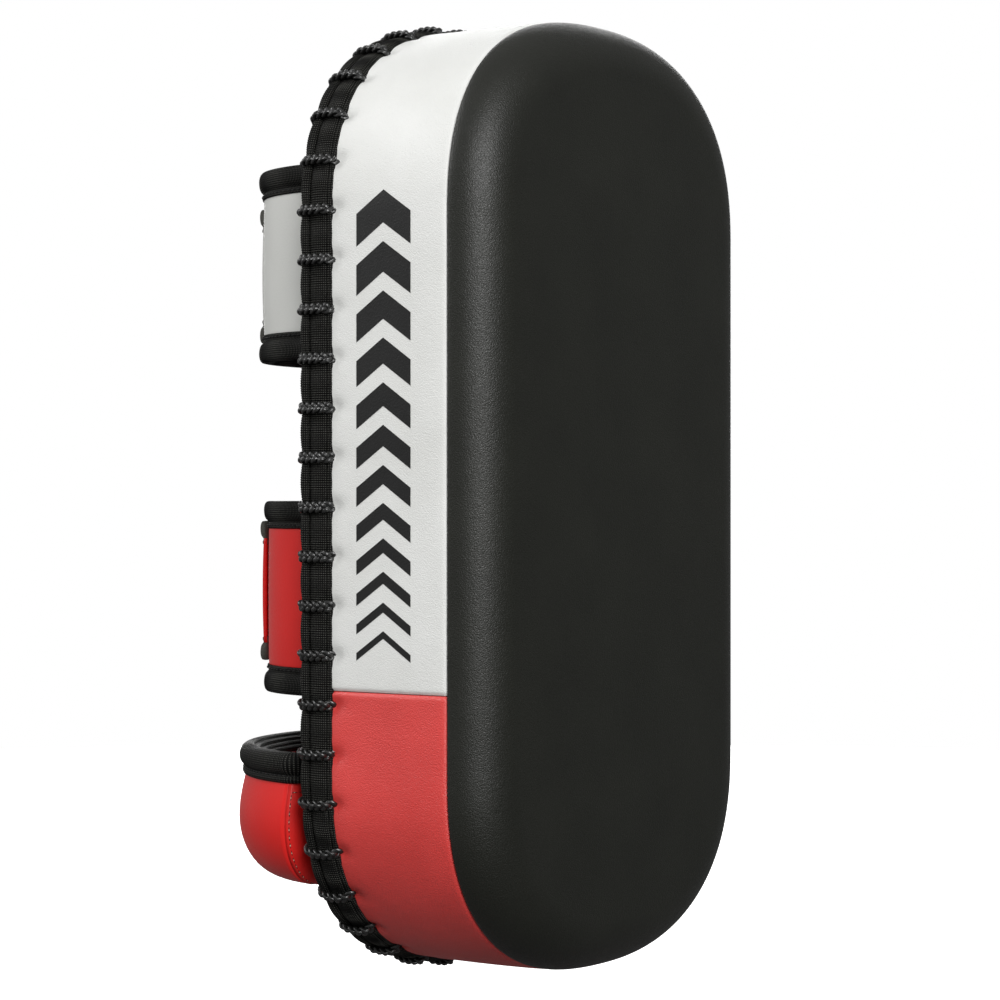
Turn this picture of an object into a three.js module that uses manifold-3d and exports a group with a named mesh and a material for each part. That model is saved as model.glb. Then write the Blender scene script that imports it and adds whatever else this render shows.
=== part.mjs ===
// Thai pad: a laced leather kick pad with two forearm straps, a hand grip and an elbow cup.
// Millimetres. X is to the holder's side, +Y points away from the strike face, +Z points up to the
// grip. The origin is the centre of the back panel's outer face, where the forearm lies.

import * as THREE from 'three';
import { mergeVertices } from 'three/addons/utils/BufferGeometryUtils.js';
import Module from 'manifold-3d';

const wasm = await Module();
wasm.setup();

// ---------- driving dimensions ----------
const GAP = 0.3;
const MERGE = 1e-3;
const SEARCH_STEP = 0.25;

// Pad outline: straight sides with rounded ends a little squarer than an ellipse.
const HALF_WIDTH = 98;
const HALF_HEIGHT = 195;
const CAP_HEIGHT = 84.7;
const CAP_POWER = 0.84;
const CAP_STEPS = 17;
const STRAIGHT_HALF = HALF_HEIGHT - CAP_HEIGHT;

// Depths along Y.
const SEAM_Y = -71;
const CROWN = 20;
const CROWN_BORDER = 22;
const CROWN_STEPS = 4;
const CORE_FRONT_Y = -58;
const CORE_BACK_Y = -32;
const LEATHER = 2;
const COLOUR_SEAM_Z = -78;

// Webbing bindings and the lacing that draws them together.
const WEBBING = 1.6;
const GUSSET_BINDING_FRONT_Y = -14.8;
const GUSSET_BINDING_BACK_Y = -3.8;
const BACK_BINDING_WIDTH = 9;
const BACK_BINDING_FRONT_Y = -3.5;
const BACK_BINDING_THICKNESS = 1.2;
const CORD_RADIUS = 2.2;
const CORD_SIDES = 6;
const LACE_HOLE_RADIUS = 3.5;
const LACE_HOLE_SIDES = 4;
const LACE_PITCH = 20;
const LACE_START_Z = -4.4;
const LACE_GUSSET_Y = -17.5;
const LACE_BACK_INSET = 12;
const LACE_ROOM = 7;
const LACE_OUT = 4.6;
const LACE_BACK_Y = 4.3;
const LACE_TURN_Y = -7;
const LACE_TURN_INSET = 5;

// Forearm straps: an arch over the back panel.
const STRAP_FOOT_X = 78;
const STRAP_ARCH_POWER = 2.5;
const STRAP_BINDING_WIDTH = 11.5;
const STRAP_BINDING_THICKNESS = 6;
const HINGE_Y = 10.5;
const BASE_FLAP_END_X = 35;
const CLOSURE_LEATHER = 1.4;
const CLOSURE_BINDING_WIDTH = 8.5;
const CLOSURE_BINDING_THICKNESS = 4.2;
const PATCH = 0.5;
const PATCH_MARGIN = 4;
const STACK_RUN_OUT = 10;
const ANCHOR_REACH = 16;
const ARCH_FACETS = 16;
const HINGE_CLEARANCE = 1.2;

// Hand grip.
const GRIP_Z = 158;
const GRIP_HALF_SPAN = 42;
const GRIP_RISE = 40;
const GRIP_ARCH_POWER = 2.3;
const GRIP_CORE_RADIUS = 5;
const GRIP_FOAM_RADIUS = 10.6;
const GRIP_COVER_RADIUS = 12;
const GRIP_PATCH_RADIUS = 12;
const GRIP_GAP = 0.4;
const GRIP_CORE_FOOT_Y = 5;
const GRIP_SLEEVE_FOOT_Y = 15;

// Elbow cup.
const CUP_HALF_WIDTH = 92;
const CUP_DEPTH = 83;
const CUP_RIM_Z = -104.7;
const CUP_RIM_BINDING = 12.3;
const CUP_RIM_PROUD = 1;
const CUP_RIM_SHOULDER = 3;
const CUP_FLOOR_Z = -160;
const CUP_FLOOR_RISE = 25;
const CUP_FLOOR_INSET = 19;
const CUP_BULGE = 3;
const CUP_MID_BULGE = 2.4;
const CUP_SEAM_Y = 14;
const CUP_SIDE_FLOOR_X = 46;
const CUP_FOOT_X = 75;
const CUP_FOOT_MARGIN = 17;
const CUP_SIDE_LEAN = 2.5;
const CUP_SIDE_RISE_Y = 7;
const CUP_SIDE_SAG = 3;
const CUP_SIDE_SAG_Y = 10.4;
const CUP_LEATHER = 2;
const CUP_PADDING = 3;
const CUP_LINING = 1.5;

// ---------- materials ----------
const leather = (color) => new THREE.MeshStandardMaterial({ color, roughness: 0.5, flatShading: true });
const webbing = (color) => new THREE.MeshStandardMaterial({ color, roughness: 0.85, flatShading: true });
const foam = (color) => new THREE.MeshStandardMaterial({ color, roughness: 1, flatShading: true });
const BLACK_LEATHER = 0x24251f;
const WHITE_LEATHER = 0xe9e9ea;
const RED_LEATHER = 0xc8262a;
const BLACK_WEBBING = 0x1b1c1b;
const BLACK_CORD = 0x151615;
const GREY_FOAM = 0x8d9092;

// ---------- solids from points ----------
const vec = (x, y, z) => new THREE.Vector3(x, y, z);

function signedVolume(position, index) {
  const a = new THREE.Vector3();
  const b = new THREE.Vector3();
  const c = new THREE.Vector3();
  let volume = 0;
  for (let i = 0; i < index.length; i += 3) {
    a.fromBufferAttribute(position, index[i]);
    b.fromBufferAttribute(position, index[i + 1]);
    c.fromBufferAttribute(position, index[i + 2]);
    volume += a.dot(b.cross(c)) / 6;
  }
  return volume;
}

// Merges shared vertices, drops collapsed triangles and turns the faces outwards.
function closedSolid(geometry) {
  geometry.deleteAttribute('normal');
  geometry.deleteAttribute('uv');
  const merged = mergeVertices(geometry, MERGE);
  const source = merged.index.array;
  const index = [];
  for (let i = 0; i < source.length; i += 3) {
    const [a, b, c] = source.slice(i, i + 3);
    if (a !== b && b !== c && c !== a) index.push(a, b, c);
  }
  if (signedVolume(merged.attributes.position, index) < 0) index.reverse();
  merged.setIndex(index);
  return merged;
}

function solidFromFaces(points, faces) {
  const geometry = new THREE.BufferGeometry().setFromPoints(points);
  geometry.setIndex(faces.flat());
  return closedSolid(geometry);
}

// Two triangles between neighbouring points of two rows.
function bridge(faces, rowA, rowB, from, to) {
  faces.push([rowA + from, rowA + to, rowB + to], [rowA + from, rowB + to, rowB + from]);
}

// Skins a list of closed rings. Convex end rings are capped unless the rings themselves close.
function loft(rings, isLoop = false) {
  const count = rings[0].length;
  const faces = [];
  const bays = isLoop ? rings.length : rings.length - 1;
  for (let bay = 0; bay < bays; bay += 1) {
    const next = (bay + 1) % rings.length;
    for (let i = 0; i < count; i += 1) bridge(faces, bay * count, next * count, i, (i + 1) % count);
  }
  if (!isLoop) {
    const last = (rings.length - 1) * count;
    for (let i = 1; i < count - 1; i += 1) {
      faces.push([0, i + 1, i]);
      faces.push([last, last + i, last + i + 1]);
    }
  }
  return solidFromFaces(rings.flat(), faces);
}

// A sheet with thickness: two grids of rows joined along their four edges.
function thickSheet(outer, inner) {
  const rows = outer.length;
  const columns = outer[0].length;
  const innerStart = rows * columns;
  const faces = [];
  for (let row = 0; row < rows - 1; row += 1) {
    for (let i = 0; i < columns - 1; i += 1) {
      const here = row * columns;
      const below = here + columns;
      bridge(faces, here, below, i, i + 1);
      bridge(faces, innerStart + below, innerStart + here, i, i + 1);
    }
  }
  const edge = (a, b) => faces.push([b, a, innerStart + a], [b, innerStart + a, innerStart + b]);
  const lastRow = (rows - 1) * columns;
  for (let i = 0; i < columns - 1; i += 1) {
    edge(i, i + 1);
    edge(lastRow + i + 1, lastRow + i);
  }
  for (let row = 0; row < rows - 1; row += 1) {
    edge((row + 1) * columns, row * columns);
    edge(row * columns + columns - 1, (row + 1) * columns + columns - 1);
  }
  return solidFromFaces([...outer.flat(), ...inner.flat()], faces);
}

function toManifold(geometry) {
  const vertProperties = new Float32Array(geometry.attributes.position.array);
  const triVerts = new Uint32Array(geometry.index.array);
  return new wasm.Manifold(new wasm.Mesh({ numProp: 3, vertProperties, triVerts }));
}

function fromManifold(solid) {
  const { vertProperties, triVerts } = solid.getMesh();
  const geometry = new THREE.BufferGeometry();
  geometry.setAttribute('position', new THREE.BufferAttribute(new Float32Array(vertProperties), 3));
  geometry.setIndex(Array.from(triVerts));
  return closedSolid(geometry);
}

function cut(geometry, cutters) {
  let solid = toManifold(geometry);
  for (const cutter of cutters) solid = solid.subtract(toManifold(cutter));
  return fromManifold(solid);
}

// Measures a polyline, and gives the point and unit tangent at any distance along it.
function walkAlong(points, isLoop = false) {
  const path = isLoop ? [...points, points[0]] : points;
  const reach = [0];
  for (let i = 1; i < path.length; i += 1) reach.push(reach[i - 1] + path[i].distanceTo(path[i - 1]));
  const total = reach[reach.length - 1];
  const at = (distance) => {
    const wrapped = isLoop ? THREE.MathUtils.euclideanModulo(distance, total) : distance;
    let i = 1;
    while (i < path.length - 1 && reach[i] < wrapped) i += 1;
    const share = (wrapped - reach[i - 1]) / (reach[i] - reach[i - 1]);
    const point = path[i - 1].clone().lerp(path[i], share);
    const tangent = path[i].clone().sub(path[i - 1]).normalize();
    return { point, tangent };
  };
  return { total, at };
}

// Follows a list of points one by one, so that each point becomes one step of an extrusion.
class PointPath extends THREE.Curve {
  constructor(points) {
    super();
    this.points = points;
  }

  getPoint(t, target = new THREE.Vector3()) {
    const place = THREE.MathUtils.clamp(t, 0, 1) * (this.points.length - 1);
    const i = Math.min(Math.floor(place), this.points.length - 2);
    return target.lerpVectors(this.points[i], this.points[i + 1], place - i);
  }

  getUtoTmapping(u) {
    return u;
  }
}

function circle(radius, sides) {
  const points = [];
  for (let i = 0; i < sides; i += 1) {
    const angle = (2 * Math.PI * i) / sides;
    points.push(new THREE.Vector2(radius * Math.cos(angle), radius * Math.sin(angle)));
  }
  return points;
}

// A round tube along a list of points, hollow where an inner radius is given.
function tubeAlong(points, radius, sides, innerRadius = 0) {
  const section = new THREE.Shape(circle(radius, sides));
  if (innerRadius > 0) section.holes.push(new THREE.Path(circle(innerRadius, sides)));
  const extrudePath = new PointPath(points);
  return closedSolid(new THREE.ExtrudeGeometry(section, { steps: points.length - 1, extrudePath }));
}

// ---------- the pad outline ----------
const signedPower = (value, power) => Math.sign(value) * Math.abs(value) ** power;

// One ring of the pad outline at a depth, drawn in by an inset.
function outlineRing(inset, y, steps = CAP_STEPS) {
  const ring = [];
  for (const side of [1, -1]) {
    for (let i = 0; i <= steps; i += 1) {
      const angle = (Math.PI * i) / steps;
      const x = side * (HALF_WIDTH - inset) * signedPower(Math.cos(angle), CAP_POWER);
      const rise = (CAP_HEIGHT - inset) * Math.abs(Math.sin(angle)) ** CAP_POWER;
      ring.push(vec(x, y, side * (STRAIGHT_HALF + rise)));
    }
  }
  return ring;
}

// Half the pad's width at a height.
function padHalfWidth(z) {
  const beyond = Math.max(Math.abs(z) - STRAIGHT_HALF, 0) / CAP_HEIGHT;
  const sine = Math.min(beyond, 1) ** (1 / CAP_POWER);
  return HALF_WIDTH * Math.sqrt(1 - sine * sine) ** CAP_POWER;
}

// A closed band that runs round the outline: its section is [inset, y] pairs.
function bandRoundOutline(section) {
  const columns = section.map(([inset, y]) => outlineRing(inset, y));
  const rings = columns[0].map((_, i) => columns.map((column) => column[i]));
  return loft(rings, true);
}

// ---------- lacing ----------
const FINE_CAP_STEPS = 120;
const fineOutline = outlineRing(0, 0, FINE_CAP_STEPS);
const outlineWalk = walkAlong(fineOutline, true);

function laceStation(distance) {
  const { point, tangent } = outlineWalk.at(distance);
  const outward = vec(tangent.z, 0, -tangent.x);
  if (outward.dot(point) < 0) outward.negate();
  return { point, outward };
}

// Distance round the outline at which a stitch crosses the left side at the chosen height.
function firstStitchDistance() {
  const capLength = walkAlong(fineOutline.slice(0, FINE_CAP_STEPS + 1)).total;
  return capLength + STRAIGHT_HALF - LACE_START_Z;
}

const STITCHES = Math.round(outlineWalk.total / LACE_PITCH);
const STITCH_STEP = outlineWalk.total / STITCHES;

// One stitch in the plane across the edge, as [outward distance, y].
const STITCH_ROUTE = [
  [LACE_OUT, LACE_GUSSET_Y],
  [LACE_OUT, LACE_BACK_Y],
  [-LACE_BACK_INSET, LACE_BACK_Y],
  [-LACE_BACK_INSET, LACE_TURN_Y],
];
const STITCH_RETURN = [-LACE_TURN_INSET, LACE_GUSSET_Y];

function stitchPoint(distance, [out, y]) {
  const { point, outward } = laceStation(distance);
  const place = point.clone().addScaledVector(outward, out);
  return vec(place.x, y, place.z);
}

function lacingCord() {
  const start = firstStitchDistance();
  const points = [];
  for (let i = 0; i < STITCHES; i += 1) {
    const distance = start + i * STITCH_STEP;
    if (i > 0) points.push(stitchPoint(distance, STITCH_RETURN));
    for (const step of STITCH_ROUTE) points.push(stitchPoint(distance, step));
  }
  return tubeAlong(points, CORD_RADIUS, CORD_SIDES);
}

// Cutters for the punched holes: one row through the gusset, one through the back panel.
function laceHoles(row) {
  const start = firstStitchDistance();
  const cutters = [];
  for (let i = 0; i < STITCHES; i += 1) {
    const { point, outward } = laceStation(start + i * STITCH_STEP);
    const hole = new THREE.CylinderGeometry(LACE_HOLE_RADIUS, LACE_HOLE_RADIUS, 4 * LEATHER,
      LACE_HOLE_SIDES);
    const along = row === 'gusset' ? outward : vec(0, 1, 0);
    const inset = row === 'gusset' ? LEATHER / 2 : LACE_BACK_INSET;
    const y = row === 'gusset' ? LACE_GUSSET_Y : -LEATHER / 2;
    hole.applyQuaternion(new THREE.Quaternion().setFromUnitVectors(vec(0, 1, 0), along));
    const place = point.clone().addScaledVector(outward, -inset);
    hole.translate(place.x, y, place.z);
    cutters.push(closedSolid(hole));
  }
  return cutters;
}

// ---------- pad body ----------
function crownProfile(thickness, seatY) {
  const rings = [outlineRing(thickness, seatY)];
  for (let i = 0; i <= CROWN_STEPS; i += 1) {
    const angle = (Math.PI / 2) * (i / CROWN_STEPS);
    const inset = thickness + CROWN_BORDER * (1 - Math.cos(angle));
    rings.push(outlineRing(inset, SEAM_Y - (CROWN - thickness + GAP) * Math.sin(angle)));
  }
  return rings;
}

function strikeFaceCover() {
  const outer = crownProfile(0, SEAM_Y).slice(1).reverse();
  const inner = crownProfile(LEATHER, SEAM_Y).slice(1);
  return loft([...outer, ...inner]);
}

function foamFront() {
  return loft(crownProfile(LEATHER + GAP, CORE_FRONT_Y));
}

function foamCore() {
  const inset = LEATHER + GAP;
  return loft([outlineRing(inset, CORE_FRONT_Y + GAP), outlineRing(inset, CORE_BACK_Y)]);
}

// The rear foam is bevelled so that the lacing has room inside the corner.
function foamBack() {
  const inset = LEATHER + 2 * GAP;
  const bevelInset = LACE_BACK_INSET + LACE_ROOM;
  return loft([
    outlineRing(inset, CORE_BACK_Y + GAP),
    outlineRing(inset, CORE_BACK_Y + LEATHER),
    outlineRing(bevelInset, -LEATHER - GAP),
  ]);
}

function backPanel() {
  const plate = loft([outlineRing(0, -LEATHER), outlineRing(0, 0)]);
  return cut(plate, laceHoles('back'));
}

// The side wall is one closed band, parted low on both long sides.
function gussetPanel(isRed) {
  const rearY = GUSSET_BINDING_BACK_Y - WEBBING - GAP;
  const frontY = SEAM_Y + GAP;
  const band = bandRoundOutline([[0, frontY], [0, rearY], [LEATHER, rearY], [LEATHER, frontY]]);
  const tall = 2 * HALF_HEIGHT;
  const away = new THREE.BoxGeometry(4 * HALF_WIDTH, 4 * HALF_WIDTH, tall);
  const edge = isRed ? COLOUR_SEAM_Z - GAP / 2 : COLOUR_SEAM_Z + GAP / 2;
  away.translate(0, 0, isRed ? edge + tall / 2 : edge - tall / 2);
  return cut(band, [closedSolid(away), ...laceHoles('gusset')]);
}

function gussetBinding() {
  const front = GUSSET_BINDING_FRONT_Y;
  const back = GUSSET_BINDING_BACK_Y;
  const outside = -GAP - WEBBING;
  const inside = LEATHER + GAP + WEBBING;
  return bandRoundOutline([
    [outside, front], [outside, back], [inside, back], [inside, front],
    [LEATHER + GAP, front], [LEATHER + GAP, back - WEBBING], [-GAP, back - WEBBING], [-GAP, front],
  ]);
}

function backBinding() {
  const front = BACK_BINDING_FRONT_Y;
  const outside = -GAP - WEBBING;
  const back = GAP + BACK_BINDING_THICKNESS;
  const inner = BACK_BINDING_WIDTH;
  return bandRoundOutline([
    [outside, front], [outside, back], [inner, back], [inner, GAP],
    [-GAP, GAP], [-GAP, -LEATHER - GAP], [inner / 2, -LEATHER - GAP], [inner / 2, front],
  ]);
}

// ---------- arches ----------
// Points of a superellipse arch in the XY plane, from the left foot to the right one.
function archPoints(halfSpan, rise, power) {
  const points = [];
  const steps = 240;
  for (let i = 0; i <= steps; i += 1) {
    const angle = Math.PI * (1 - i / steps);
    const x = halfSpan * signedPower(Math.cos(angle), 2 / power);
    points.push(vec(x, rise * Math.sin(angle) ** (2 / power), 0));
  }
  return points;
}

function evenSteps(from, to, count) {
  return Array.from({ length: count + 1 }, (_, i) => from + ((to - from) * i) / count);
}

// Distance along a path at which a test first holds.
function findAlong(walk, test) {
  let distance = 0;
  while (distance < walk.total && !test(walk.at(distance).point)) distance += SEARCH_STEP;
  return distance;
}

// A faceted arch. Layers laid on it at different distances out stay parallel, facet by facet.
function makeArch(halfSpan, rise, power) {
  const smooth = walkAlong(archPoints(halfSpan, rise, power));
  const corners = evenSteps(0, smooth.total, ARCH_FACETS).map((distance) => smooth.at(distance).point);
  const walk = walkAlong(corners);
  const reach = corners.map((_, i) => walkAlong(corners.slice(0, i + 1)).total);
  const facetNormals = corners.slice(1).map((corner, i) => {
    const run = corner.clone().sub(corners[i]).normalize();
    return vec(-run.y, run.x, 0);
  });
  const normals = corners.map((_, i) => {
    const before = facetNormals[Math.max(i - 1, 0)];
    const after = facetNormals[Math.min(i, facetNormals.length - 1)];
    const middle = before.clone().add(after).normalize();
    return middle.divideScalar(middle.dot(after));
  });
  // A place on the arch: distance along it, height z, and distance out from it.
  const place = (distance, z, out) => {
    let i = 0;
    while (i < facetNormals.length - 1 && reach[i + 1] < distance) i += 1;
    const share = (distance - reach[i]) / (reach[i + 1] - reach[i]);
    const point = corners[i].clone().lerp(corners[i + 1], share);
    const normal = normals[i].clone().lerp(normals[i + 1], share);
    return vec(point.x + normal.x * out, point.y + normal.y * out, z);
  };
  // Both ends and every facet corner between them.
  const stops = (from, to) => [from, ...reach.filter((at) => at > from + 1 && at < to - 1), to];
  return { total: walk.total, at: walk.at, place, stops };
}

// A flat strip bent over an arch; outAt gives its inner face's distance from the arch.
function archStrip(arch, [from, to], [bottom, top], outAt, thickness) {
  const rings = arch.stops(from, to).map((distance) => {
    const out = outAt(distance);
    return [
      arch.place(distance, bottom, out),
      arch.place(distance, top, out),
      arch.place(distance, top, out + thickness),
      arch.place(distance, bottom, out + thickness),
    ];
  });
  return loft(rings);
}

// A rolled binding, six-sided in section, along an arch at one height.
function archBinding(arch, stops, z, outAt, width, thickness) {
  const rings = stops.map((distance) => Array.from({ length: 6 }, (_, j) => {
    const angle = (Math.PI * j) / 3;
    const across = (width / 2) * Math.cos(angle);
    const lift = ((thickness / 2) * Math.sin(angle)) / Math.sin(Math.PI / 3);
    return arch.place(distance, z + across, outAt(distance) + lift);
  }));
  return loft(rings);
}

// ---------- forearm straps ----------
function makeStrap({ name, rise, baseZ, closureZ, closureEndX, color }) {
  const arch = makeArch(STRAP_FOOT_X, rise, STRAP_ARCH_POWER);
  const hingeAt = findAlong(arch, (point) => point.y >= HINGE_Y);
  const baseEnd = findAlong(arch, (point) => point.x >= BASE_FLAP_END_X);
  const closureStart = findAlong(arch, (point) => point.x >= closureEndX);
  const closureEnd = arch.total - hingeAt;
  const named = (part) => `${name}_strap_${part}`;
  const inset = ([bottom, top], margin) => [bottom + margin, top - margin];
  const baseLeatherZ = inset(baseZ, STRAP_BINDING_WIDTH + GAP);
  const closureLeatherZ = inset(closureZ, CLOSURE_BINDING_WIDTH + GAP);

  const baseSpan = [hingeAt + HINGE_CLEARANCE, baseEnd];
  const baseFlap = archStrip(arch, baseSpan, baseLeatherZ, () => -LEATHER, LEATHER);
  const baseBinding = (z) => {
    const stops = arch.stops(hingeAt + STRAP_BINDING_THICKNESS / 2, baseEnd);
    return archBinding(arch, stops, z, () => -LEATHER / 2, STRAP_BINDING_WIDTH, STRAP_BINDING_THICKNESS);
  };

  // The closure flap lies on the base flap, and comes down to the same arch at its own foot.
  const stack = 3 * GAP + 2 * PATCH;
  const closureOut = (distance) => {
    const down = THREE.MathUtils.smoothstep(distance, baseEnd + STACK_RUN_OUT, closureEnd);
    return stack - (stack + CLOSURE_LEATHER) * down;
  };
  const closureSpan = [closureStart, closureEnd - HINGE_CLEARANCE];
  const closureFlap = archStrip(arch, closureSpan, closureLeatherZ, closureOut, CLOSURE_LEATHER);
  const closureMiddle = (distance) => closureOut(distance) + CLOSURE_LEATHER / 2;
  const closureBinding = (z) => {
    const stops = arch.stops(closureStart, closureEnd - CLOSURE_BINDING_THICKNESS / 2);
    return archBinding(arch, stops, z, closureMiddle, CLOSURE_BINDING_WIDTH, CLOSURE_BINDING_THICKNESS);
  };
  const patchSpan = [closureStart + PATCH_MARGIN, baseEnd - PATCH_MARGIN];
  const patchZ = inset(closureLeatherZ, PATCH_MARGIN / 2);
  const patch = (out) => archStrip(arch, patchSpan, patchZ, () => out, PATCH);
  const hingePoint = arch.at(hingeAt).point;

  return [
    [named('base_foot'), strapFoot(-1, hingePoint, LEATHER, baseLeatherZ), leather(color)],
    [named('base_flap'), baseFlap, leather(color)],
    [named('base_binding_top'), baseBinding(baseZ[1] - STRAP_BINDING_WIDTH / 2), webbing(BLACK_WEBBING)],
    [named('base_binding_bottom'), baseBinding(baseZ[0] + STRAP_BINDING_WIDTH / 2), webbing(BLACK_WEBBING)],
    [named('loop_patch'), patch(GAP), webbing(BLACK_WEBBING)],
    [named('closure_foot'), strapFoot(1, hingePoint, CLOSURE_LEATHER, closureLeatherZ), leather(color)],
    [named('closure_flap'), closureFlap, leather(color)],
    [named('closure_binding_top'), closureBinding(closureZ[1] - CLOSURE_BINDING_WIDTH / 2),
      webbing(BLACK_WEBBING)],
    [named('closure_binding_bottom'), closureBinding(closureZ[0] + CLOSURE_BINDING_WIDTH / 2),
      webbing(BLACK_WEBBING)],
    [named('hook_patch'), patch(2 * GAP + PATCH), webbing(BLACK_WEBBING)],
  ];
}

// The sewn end of a flap: flat on the back panel, then turned up to the place where the flap bends.
function strapFoot(side, hingePoint, thickness, [bottom, top]) {
  const outer = Math.abs(hingePoint.x);
  const inner = outer - thickness;
  const riserTop = HINGE_Y - 1;
  const flatTop = GAP + LEATHER;
  const profile = [
    [outer, GAP], [outer, riserTop], [inner, riserTop], [inner, flatTop],
    [inner - ANCHOR_REACH, flatTop], [inner - ANCHOR_REACH, GAP],
  ];
  const shape = new THREE.Shape(profile.map(([x, y]) => new THREE.Vector2(side * x, y)));
  const geometry = new THREE.ExtrudeGeometry(shape, { depth: top - bottom, bevelEnabled: false });
  geometry.translate(0, 0, bottom);
  return closedSolid(geometry);
}

// ---------- hand grip ----------
function gripPoints(footY, steps) {
  const walk = walkAlong(archPoints(GRIP_HALF_SPAN, GRIP_RISE, GRIP_ARCH_POWER));
  const from = findAlong(walk, (point) => point.y >= footY);
  const stops = evenSteps(from, walk.total - from, steps);
  return stops.map((distance) => walk.at(distance).point.setZ(GRIP_Z));
}

function makeGrip() {
  const core = gripPoints(GRIP_CORE_FOOT_Y, 12);
  const sleeve = gripPoints(GRIP_SLEEVE_FOOT_Y, 10);
  const sides = 8;
  return [
    ['grip_core', tubeAlong(core, GRIP_CORE_RADIUS, sides), webbing(BLACK_WEBBING)],
    ['grip_foam', tubeAlong(sleeve, GRIP_FOAM_RADIUS, sides, GRIP_CORE_RADIUS + GRIP_GAP), foam(GREY_FOAM)],
    ['grip_cover', tubeAlong(sleeve, GRIP_COVER_RADIUS, sides, GRIP_FOAM_RADIUS + GRIP_GAP),
      leather(BLACK_LEATHER)],
    ['grip_patch_left', gripPatch(-1), leather(BLACK_LEATHER)],
    ['grip_patch_right', gripPatch(1), leather(BLACK_LEATHER)],
  ];
}

function gripPatch(side) {
  const patch = new THREE.CylinderGeometry(GRIP_PATCH_RADIUS, GRIP_PATCH_RADIUS, LEATHER, 12);
  patch.translate(side * GRIP_HALF_SPAN, GAP + LEATHER / 2, GRIP_Z);
  return closedSolid(patch);
}

// ---------- elbow cup ----------
// Levels from the rim down to the floor: height, inset from the full outline, and how far the wall
// has tilted towards the floor.
function cupLevels() {
  const wallTop = CUP_RIM_Z - CUP_RIM_BINDING - GAP;
  const wallBottom = CUP_FLOOR_Z + CUP_FLOOR_RISE;
  const levels = [
    { z: wallTop, inset: 0, tilt: 0 },
    { z: (wallTop + wallBottom) / 2, inset: -CUP_MID_BULGE, tilt: 0 },
  ];
  for (const degrees of [0, 30, 60, 90]) {
    const turn = THREE.MathUtils.degToRad(degrees);
    levels.push({
      z: wallBottom - CUP_FLOOR_RISE * Math.sin(turn),
      inset: CUP_FLOOR_INSET * (1 - Math.cos(turn)) - CUP_BULGE,
      tilt: Math.atan2(CUP_FLOOR_INSET * Math.sin(turn), CUP_FLOOR_RISE * Math.cos(turn)),
    });
  }
  return levels;
}

// Points across the cup at one level. The sides turn in to a foot clear of the lacing.
function cupSection(z, inset, footZ = z) {
  const halfWidth = CUP_HALF_WIDTH - inset;
  const depth = CUP_DEPTH - inset;
  const foot = Math.min(CUP_FOOT_X, padHalfWidth(footZ) - CUP_FOOT_MARGIN) - inset;
  const seamAngle = Math.asin(CUP_SEAM_Y / depth);
  const seamX = halfWidth * Math.cos(seamAngle);
  const half = [
    new THREE.Vector2(foot, GAP),
    new THREE.Vector2(foot + CUP_SIDE_LEAN, CUP_SIDE_RISE_Y),
    new THREE.Vector2((foot + seamX) / 2 + CUP_SIDE_SAG, CUP_SIDE_SAG_Y),
    new THREE.Vector2(seamX, CUP_SEAM_Y),
  ];
  const arcSteps = 10;
  const arc = [];
  for (let i = 1; i < arcSteps; i += 1) {
    const angle = seamAngle + (Math.PI - 2 * seamAngle) * (i / arcSteps);
    arc.push(new THREE.Vector2(halfWidth * Math.cos(angle), depth * Math.sin(angle)));
  }
  const mirrored = [...half].reverse().map((point) => new THREE.Vector2(-point.x, point.y));
  return [...half, ...arc, ...mirrored].map((point) => vec(point.x, point.y, z));
}

// The cup's surface drawn in by an offset, as rows of points, ending where the floor meets the pad.
function cupGrid(offset) {
  const rows = cupLevels().map(({ z, inset, tilt }) => (
    cupSection(z + offset * Math.sin(tilt), inset + offset * Math.cos(tilt), z)
  ));
  const floor = rows[rows.length - 1];
  const foot = floor[0].x;
  rows.push(floor.map((point) => vec(THREE.MathUtils.clamp(point.x, -foot, foot), GAP, point.z)));
  return rows;
}

function cupLayer(offset, thickness) {
  return thickSheet(cupGrid(offset), cupGrid(offset + thickness));
}

// A tall block over one side panel's part of the cup, grown by a margin.
function sideBlock(side, margin) {
  const width = CUP_HALF_WIDTH;
  const depth = CUP_SEAM_Y + margin;
  const block = new THREE.BoxGeometry(width, depth * 2, 2 * HALF_HEIGHT);
  block.translate(side * (CUP_SIDE_FLOOR_X - margin + width / 2), 0, CUP_FLOOR_Z);
  return closedSolid(block);
}

function makeCup() {
  const shell = cupLayer(0, CUP_LEATHER);
  const sidePanel = (side) => {
    const block = toManifold(sideBlock(side, -GAP / 2));
    return fromManifold(toManifold(shell).intersect(block));
  };
  const paddingOffset = CUP_LEATHER + 3 * GAP;
  const liningOffset = paddingOffset + CUP_PADDING + 3 * GAP;
  return [
    ['elbow_cup_outer', cut(shell, [sideBlock(-1, GAP / 2), sideBlock(1, GAP / 2)]), leather(RED_LEATHER)],
    ['elbow_cup_side_left', sidePanel(-1), leather(RED_LEATHER)],
    ['elbow_cup_side_right', sidePanel(1), leather(RED_LEATHER)],
    ['elbow_cup_padding', cupLayer(paddingOffset, CUP_PADDING), foam(GREY_FOAM)],
    ['elbow_cup_lining', cupLayer(liningOffset, CUP_LINING), leather(RED_LEATHER)],
    ['elbow_cup_rim_binding', cupRimBinding(), webbing(BLACK_WEBBING)],
  ];
}

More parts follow.
